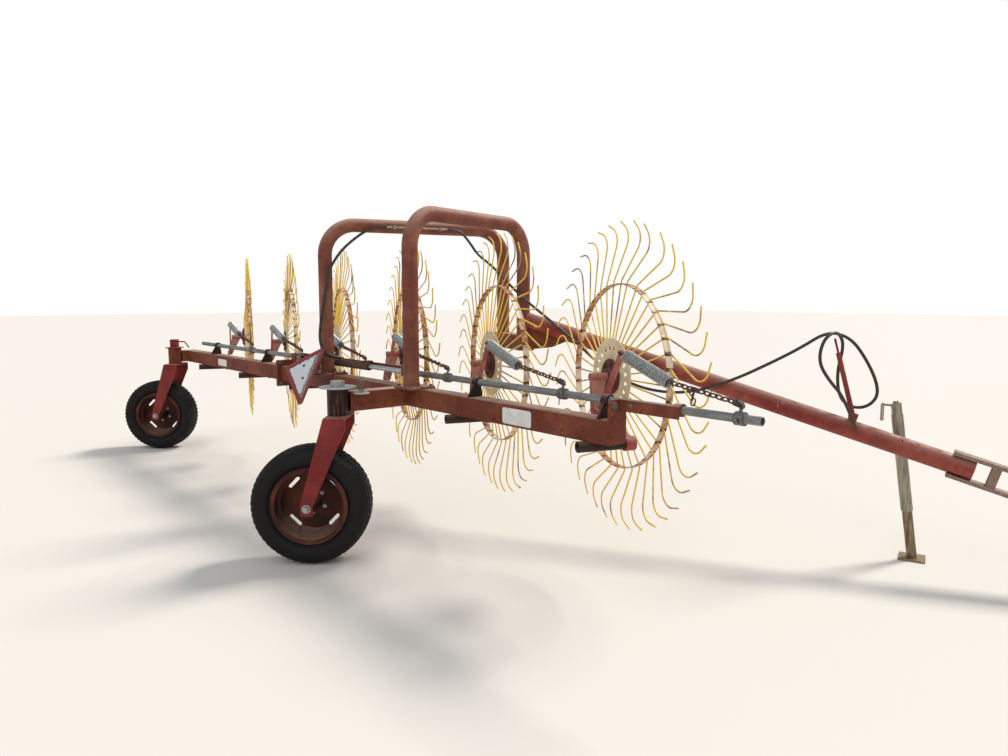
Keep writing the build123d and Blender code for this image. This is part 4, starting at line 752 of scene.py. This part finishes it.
# For each hanger: its eye on the clamp, a point down the spring's line, the spring's end at the lever,
# the lever's eye, and the way that the clamp's pin points
for k, (eye, lower, start, lever, pin) in enumerate((
        ((2.90876, -0.62017, 1.045), (2.43212, -0.47245, 1.09343), (2.2049, -0.42926, 1.16897),
         (2.17065, -0.41997, 1.175), (-0.3064, -0.8448, -0.4387)),
        ((2.00306, -0.62017, 1.045), (1.47995, -0.46855, 1.09597), (1.2514, -0.42874, 1.1693),
         (1.21695, -0.41997, 1.175), (-0.2893, -0.85, -0.4402)),
        ((1.12136, -0.62017, 1.045), (0.52812, -0.46342, 1.09931), (0.29793, -0.42806, 1.16975),
         (0.26325, -0.41997, 1.175), (-0.2668, -0.8565, -0.4418)),
        ((0.23766, -0.62017, 1.045), (-0.42412, -0.45912, 1.10211), (-0.65559, -0.42749, 1.17012),
         (-0.69045, -0.41997, 1.175), (-0.2479, -0.8615, -0.443)),
        ((-0.66604, -0.62017, 1.045), (-1.37696, -0.45639, 1.10389), (-1.60918, -0.42713, 1.17035),
         (-1.64415, -0.41997, 1.175), (-0.2359, -0.8646, -0.4437)),
        ((-1.56974, -0.62017, 1.045), (-2.3299, -0.4539, 1.10551), (-2.56278, -0.4268, 1.17057),
         (-2.59785, -0.41997, 1.175), (-0.225, -0.8672, -0.4443)))):
    body = "hanger_%d" % (k + 1)
    eye, lower, start, lever = Vector(eye), Vector(lower), Vector(start), Vector(lever)
    knee = start + (lower - start).normalized() * spring_length
    at_pin = axes(eye, lever - eye, pin)
    at_spring = axes(knee, start - knee, (0, 0, 1))
    length = (start - knee).length

    coil = bmesh.new()
    helix = []
    for i in range(turns * steps + 1):
        a = 2 * math.pi * i / steps
        along = length * i / (turns * steps)
        helix.append(at_spring @ Vector((along, wound * math.cos(a), wound * math.sin(a))))
    wire(coil, helix, spring_wire, 7)
    loop = ((length - 0.004, 0.0235, 0), (length + 0.004, 0.015, 0), (length + 0.010, 0, 0),
            (length + 0.004, -0.015, 0), (length - 0.004, -0.0235, 0))
    wire(coil, [at_spring @ Vector(q) for q in loop], 0.0034, 8)
    coil_piece = piece("coil_spring_%d" % (k + 1), smooth_mesh("coil_spring_%d" % (k + 1), coil), body,
                       "spring_zinc", spring_zinc)
    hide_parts(body)

    # The chain's last link holds a bar across the inside of the spring's end
    chain = bmesh.new()
    bar_at = at_spring @ Vector((bar_in, 0, 0))
    chain_from = at_pin @ Vector((0.033, 0, 0))
    run = bar_at - chain_from
    links = round(run.length / chain_pitch)
    pitch = (run.length - 0.002) / links
    lie = axes(chain_from, run, at_pin.to_3x3() @ Vector((0, 0, 1)))
    half_link = pitch / 2 + 0.0033 - chain_bend
    for j in range(links):
        crossed = Matrix.Rotation(math.radians(90 * (j % 2)), 4, "X")
        place = lie @ Matrix.Translation(((j + 0.5) * pitch, 0, 0)) @ crossed
        oval = []
        for i in range(16):
            a = math.pi * i / 8
            end = math.cos(math.pi * (i + 0.01) / 8)
            along = math.copysign(half_link, end) + chain_bend * math.cos(a) if abs(end) > 0.1 else 0
            oval.append(place @ Vector((along, chain_bend * math.sin(a), 0)))
        wire(chain, oval, chain_wire, 8, closed=True)
    wire(chain, [at_spring @ Vector((bar_in, 0, q)) for q in (-0.0245, 0.0245)], 0.004, 10)
    piece("hanger_chain_%d" % (k + 1), smooth_mesh("hanger_chain_%d" % (k + 1), chain), body,
          "rusty_steel", chain_steel)

    # A fork of two cheeks and a web takes the clamp's pin; two fingers hold the lever's eye
    fork = bmesh.new()
    for side in (-1, 1):
        cheek = (side * fork_width, side * fork_plate)
        strip(fork, at_pin, rounded_end(0.009, 0.036), min(cheek), max(cheek))
    web = [(0.026, -0.009), (0.036, -0.009), (0.036, 0.009), (0.026, 0.009)]
    strip(fork, at_pin, web, -fork_width, fork_width)
    wire(fork, [at_pin @ Vector((0, 0, q)) for q in (-fork_plate, fork_plate)], 0.006, 14)
    normal = Matrix.Rotation(wheel_turn, 3, "Z") @ Vector((0, 1, 0))
    at_lever = axes(lever, start - lever, normal)
    for side in (-1, 1):
        middle = side * finger_middle
        strip(fork, at_lever, rounded_end(0.008, 0.039), middle - finger_half, middle + finger_half)
    wire(fork, [at_lever @ Vector((0, 0, q)) for q in (-0.0165, 0.0165)], 0.0030, 12)
    plug = (length - 0.007, length - 0.001)
    wire(fork, [at_spring @ Vector((q, 0, 0)) for q in plug], 0.0218, 20)
    piece("hanger_fork_%d" % (k + 1), smooth_mesh("hanger_fork_%d" % (k + 1), fork), body,
          "rusty_steel", rusty)

# Surplus chain: the last three links of the first hanger's chain hang free below it, tied up with a
# twist of iron wire. They are the same rusted steel.
surplus = bmesh.new()
for j in range(3):
    middle = Vector((2.6365 + 0.0035 * j, -0.5362 - 0.001 * j, 1.058 - 0.0195 * j))
    crossed = Matrix.Rotation(math.radians(90 * (j % 2) + 20), 4, "Z")
    place = Matrix.Translation(middle) @ Matrix.Rotation(math.radians(8), 4, "Y") @ crossed
    oval = []
    for i in range(16):
        a = math.pi * i / 8
        up = math.copysign(0.0062, math.sin(math.pi * (i + 0.01) / 8)) + 0.0085 * math.sin(a)
        oval.append(place @ Vector((0.0085 * math.cos(a), 0, up)))
    wire(surplus, oval, 0.0031, 8, closed=True)
twist = [(2.752, -0.5735, 1.078), (2.748, -0.572, 1.069), (2.741, -0.571, 1.063), (2.733, -0.570, 1.058),
         (2.727, -0.569, 1.050)]
wire(surplus, twist, 0.0018, 6)
piece("surplus_chain", smooth_mesh("surplus_chain", surplus), "hanger_1", "rusty_steel", chain_steel)

# Warning triangle: sheet steel with its corners cut off, held to its bracket by two small bolts. The
# white enamel has gone grey and peels off in a strip, and the red border is dark and chalky.
sign_paint = bpy.data.materials.new("peeling_sign_enamel")
sign_paint.use_nodes = True
tree = sign_paint.node_tree
shader = tree.nodes["Principled BSDF"]
flat_map = add(tree, "ShaderNodeUVMap", uv_map="UVMap")
at = add(tree, "ShaderNodeTexCoord").outputs["Object"]
# The border runs inside all three sides; its edge is ragged by flakes of 30 mm
offs = []
for a in (60, 180, 300):
    outward = (math.cos(math.radians(a)), math.sin(math.radians(a)), 0)
    off = add(tree, "ShaderNodeVectorMath", {0: flat_map.outputs[0], 1: outward}, operation="DOT_PRODUCT")
    offs.append(off.outputs["Value"])
nearer = add(tree, "ShaderNodeMath", {0: offs[0], 1: offs[1]}, operation="MAXIMUM")
edge = add(tree, "ShaderNodeMath", {0: nearer.outputs[0], 1: offs[2]}, operation="MAXIMUM")
flake = add(tree, "ShaderNodeTexNoise", {"Vector": at, "Scale": 34.0, "Detail": 7.0, "Roughness": 0.72})
ragged = add(tree, "ShaderNodeMath", {0: flake.outputs[0], 1: 0.05, 2: edge.outputs[0]},
             operation="MULTIPLY_ADD")
border = add(tree, "ShaderNodeMapRange", {0: ragged.outputs[0], 1: 0.113, 2: 0.116, 3: 0.0, 4: 1.0})
dirt = add(tree, "ShaderNodeTexNoise", {"Vector": at, "Scale": 120.0, "Detail": 4.0, "Roughness": 0.7})
white = add(tree, "ShaderNodeMix", {0: dirt.outputs[0], 6: tone("#dfe3e6"), 7: tone("#b4b6b6")},
            data_type="RGBA")
red = add(tree, "ShaderNodeMix", {0: dirt.outputs[0], 6: tone("#90262d"), 7: tone("#6a1c22")},
          data_type="RGBA")
field = add(tree, "ShaderNodeMix", {0: border.outputs[0], 6: white.outputs[2], 7: red.outputs[2]},
            data_type="RGBA")
# A bare strip along one side of the white field, and spots of rust 17 mm wide
strip_way = (math.cos(math.radians(-60)), math.sin(math.radians(-60)), 0)
along = add(tree, "ShaderNodeVectorMath", {0: flat_map.outputs[0], 1: strip_way}, operation="DOT_PRODUCT")
peeled = add(tree, "ShaderNodeMath", {0: flake.outputs[0], 1: 0.06, 2: along.outputs["Value"]},
             operation="MULTIPLY_ADD")
strip_share = add(tree, "ShaderNodeMapRange", {0: peeled.outputs[0], 1: 0.087, 2: 0.09, 3: 0.0, 4: 1.0})
inside = add(tree, "ShaderNodeMath", {0: 1.0, 1: border.outputs[0]}, operation="SUBTRACT")
bare_strip = add(tree, "ShaderNodeMath", {0: strip_share.outputs[0], 1: inside.outputs[0]},
                 operation="MULTIPLY")
stripped = add(tree, "ShaderNodeMix", {0: bare_strip.outputs[0], 6: field.outputs[2], 7: tone("#77786f")},
               data_type="RGBA")
spots = add(tree, "ShaderNodeTexNoise", {"Vector": at, "Scale": 60.0, "Detail": 5.0, "Roughness": 0.7})
rusty_spot = add(tree, "ShaderNodeMapRange", {0: spots.outputs[0], 1: 0.62, 2: 0.68, 3: 0.0, 4: 0.8})
colour = add(tree, "ShaderNodeMix", {0: rusty_spot.outputs[0], 6: stripped.outputs[2],
                                     7: tone("#6b4634")}, data_type="RGBA")
tree.links.new(colour.outputs[2], shader.inputs["Base Color"])
shader.inputs["Roughness"].default_value = 0.5

sign_side, corner_cut, sign_thick = 0.430, 0.037, 0.002
sign_place = axes((-0.131243, -0.864168, 0.933), (0.549, 0.389, 0.74), (0.105, -0.91, 0.4))
corner = []
for a in (0, 120, 240):
    way = Vector((math.cos(math.radians(a)), math.sin(math.radians(a))))
    corner.append(way * sign_side / math.sqrt(3))
outline = []
for i in range(3):
    outline.append(corner[i] + (corner[i - 1] - corner[i]).normalized() * corner_cut)
    outline.append(corner[i] + (corner[(i + 1) % 3] - corner[i]).normalized() * corner_cut)
sign = bpy.data.meshes.new("warning_triangle")
ends = [(q.x, q.y, z) for z in (0.0, -sign_thick) for q in outline]
rims = [(i, i + 6, (i + 1) % 6 + 6, (i + 1) % 6) for i in range(6)]
sign.from_pydata(ends, [], [(0, 1, 2, 3, 4, 5), (11, 10, 9, 8, 7, 6)] + rims)
layer = sign.uv_layers.new(name="UVMap")
for loop in sign.loops:
    layer.data[loop.index].uv = ends[loop.vertex_index][:2]
sign.transform(sign_place)
sign_piece = piece("warning_triangle", sign, "frame", "sign_face", sign_paint)
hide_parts("sign_plate")
sign_bolts = bmesh.new()
for across, up in ((0.032, 0.048), (-0.014, -0.029)):
    hex_head(sign_bolts, sign_place @ Matrix.Translation((across, up, 0.0)), 0.013, 0.006)
piece("sign_bolts", smooth_mesh("sign_bolts", sign_bolts, 30), "frame", "rusty_steel", rusty)

# Frame bolts: steel bolts with washers through the beam's splice and the arches' base plates, two at
# the front plate, and the lock pin with its nuts. Their steel is dull grey with some rust.
bolt_steel = weathered_metal("grey_bolt_steel", "#7d7870", "#4a443c", "#5e3a25", stained=0.3,
                             metallic=0.5, rough=0.5)
frame_bolts = bmesh.new()
forward = Matrix.Rotation(math.radians(90), 4, "Y")
backward = Matrix.Rotation(math.radians(-90), 4, "Y")
rightward = Matrix.Rotation(math.radians(90), 4, "X")
# The beam's front end and middle line, from which the places below are measured
end_x, beam_y = 2.340757, -0.644168
splice_x, flange_half = -3.22 + end_x, 0.012
for side in (-1, 1):
    for level in (-1, 1):
        across, up = side * 0.055 + beam_y, 0.8692 + level * 0.075
        hex_head(frame_bolts, Matrix.Translation((splice_x + flange_half, across, up)) @ forward,
                 0.022, 0.013)
        hex_head(frame_bolts, Matrix.Translation((splice_x - flange_half, across, up)) @ backward,
                 0.022, 0.018)
for base_x in (-1.46, -2.46):
    for dx in (-0.064, 0.064):
        for y in (-0.095, 0.034):
            hex_head(frame_bolts, Matrix.Translation((base_x + dx + end_x, y + beam_y, 0.932)),
                     0.019, 0.012)
lock_at = Matrix.Translation((*lock_pin, 0.942))
hex_head(frame_bolts, lock_at, 0.030, 0.012, 1.5)
wire(frame_bolts, [lock_at @ Vector((0, 0, z)) for z in (0.010, 0.046)], 0.0085, 12)
hex_head(frame_bolts, lock_at @ Matrix.Translation((0, 0, 0.034)), 0.024, 0.014)
hex_head(frame_bolts, Matrix.Translation((2.360757, -0.678168, 0.985)) @ forward, 0.024, 0.013)
hex_head(frame_bolts, Matrix.Translation((2.428757, -0.649868, 0.991)) @ rightward, 0.017, 0.008)
piece("frame_bolts", smooth_mesh("frame_bolts", frame_bolts, 30), "frame", "rusty_steel", bolt_steel)

# Blank plates: two thin blank labels stuck to the beam's right side, one near each end. They are white
# vinyl, smooth and clean but for a few brown stains.
plate_paint = worn_paint("white_label_vinyl", "#d9d9d6", "#e8e8e6", "#b9b5ae", "#8a6a52", rusted=0.39,
                         gloss=0.35, top_dust_and_light=0.0)
plates = bmesh.new()
beam_side = Matrix.Translation((end_x, -0.0508 + beam_y, 0)) @ rightward
corner_cut, plate_thick = 0.008, 0.0006
for x0, x1, z0, z1 in ((-0.672, -0.468, 0.828, 0.905), (-4.50, -4.30, 0.838, 0.894)):
    inner_x, outer_x, inner_z, outer_z = x0 + corner_cut, x1 - corner_cut, z0 + corner_cut, z1 - corner_cut
    cut_corners = [(inner_x, z0), (outer_x, z0), (x1, inner_z), (x1, outer_z), (outer_x, z1),
                   (inner_x, z1), (x0, outer_z), (x0, inner_z)]
    strip(plates, beam_side, cut_corners, 0.0, plate_thick)
piece("blank_plates", smooth_mesh("blank_plates", plates, 30), "frame", "sign_face", plate_paint)

# Hoses: black rubber over wire braid, from the cylinder's front port up the rear arch to the steel pipe
# along its top, and from there in slack sags along the tongue to the loop on its holder.
rubber = bpy.data.materials.new("dusty_hose_rubber")
rubber.use_nodes = True
tree = rubber.node_tree
shader = tree.nodes["Principled BSDF"]
at = add(tree, "ShaderNodeTexCoord").outputs["Object"]
# Moulded rubber with a soft shine; the dust on it lies in spots of 17 mm
dusting = add(tree, "ShaderNodeTexNoise", {"Vector": at, "Scale": 60.0, "Detail": 5.0})
colour = add(tree, "ShaderNodeMix", {0: dusting.outputs[0], 6: tone("#16130f"), 7: tone("#3a332b")},
             data_type="RGBA")
tree.links.new(colour.outputs[2], shader.inputs["Base Color"])
shader.inputs["Roughness"].default_value = 0.42

hose_thick = 0.0175
for label, far, route, length in (
        ("rear", "object", [
            (-0.06024, -0.63417, 1.028), (-0.06124, -0.73017, 1.045), (-0.07924, -0.77217, 1.13),
            (-0.07724, -0.75617, 1.29), (-0.06924, -0.72817, 1.44), (-0.06224, -0.70517, 1.59),
            (-0.04224, -0.62817, 1.715), (-0.01924, -0.53617, 1.8), (0.00376, -0.44917, 1.86),
            (0.02014, -0.38626, 1.882), (0.03616, -0.3246, 1.882)], 1.163),
        ("front", "fitting", [
            (0.14341, 0.0883, 1.882), (0.1647, 0.17028, 1.882), (0.18276, 0.23783, 1.812),
            (0.19976, 0.30583, 1.715), (0.32276, 0.33083, 1.64), (0.49076, 0.31783, 1.531),
            (0.66676, 0.32083, 1.414), (0.82076, 0.39083, 1.289), (1.00276, 0.45983, 1.145),
            (1.19176, 0.52783, 0.982), (1.39476, 0.60183, 0.876), (1.60576, 0.67883, 0.849),
            (1.78076, 0.74283, 0.882), (1.96276, 0.80883, 0.96), (2.13876, 0.87283, 1.06),
            (2.27476, 0.92783, 1.145), (2.38876, 1.00883, 1.242), (2.47176, 1.10283, 1.205),
            (2.53876, 1.15883, 1.082), (2.59076, 1.17783, 0.96), (2.59476, 1.17883, 0.88),
            (2.54276, 1.15683, 0.823), (2.46876, 1.12583, 0.823), (2.41676, 1.10383, 0.88),
            (2.40876, 1.08983, 1.02), (2.44476, 1.08183, 1.16), (2.44476, 1.02783, 1.23),
            (2.44076, 0.94583, 1.238), (2.42576, 0.87783, 1.185), (2.41576, 0.86883, 1.08),
            (2.45776, 0.90583, 0.985), (2.50876, 0.96683, 0.9), (2.53776, 0.99783, 0.8)], 4.642)):
    line = bpy.data.curves.new("hose_line_" + label, "CURVE")
    line.dimensions = "3D"
    spline = line.splines.new("NURBS")
    spline.points.add(len(route) - 1)
    for point, where in zip(spline.points, route):
        point.co = (*where, 1)
    spline.order_u = 3
    spline.use_endpoint_u = True
    spline.resolution_u = 10
    line.bevel_depth = hose_thick / 2
    line.bevel_resolution = 4
    line.materials.append(rubber)
    hose = bpy.data.objects.new("hose_line_" + label, line)
    bpy.context.scene.collection.objects.link(hose)
    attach(hose, "frame")
    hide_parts("hose_" + label)
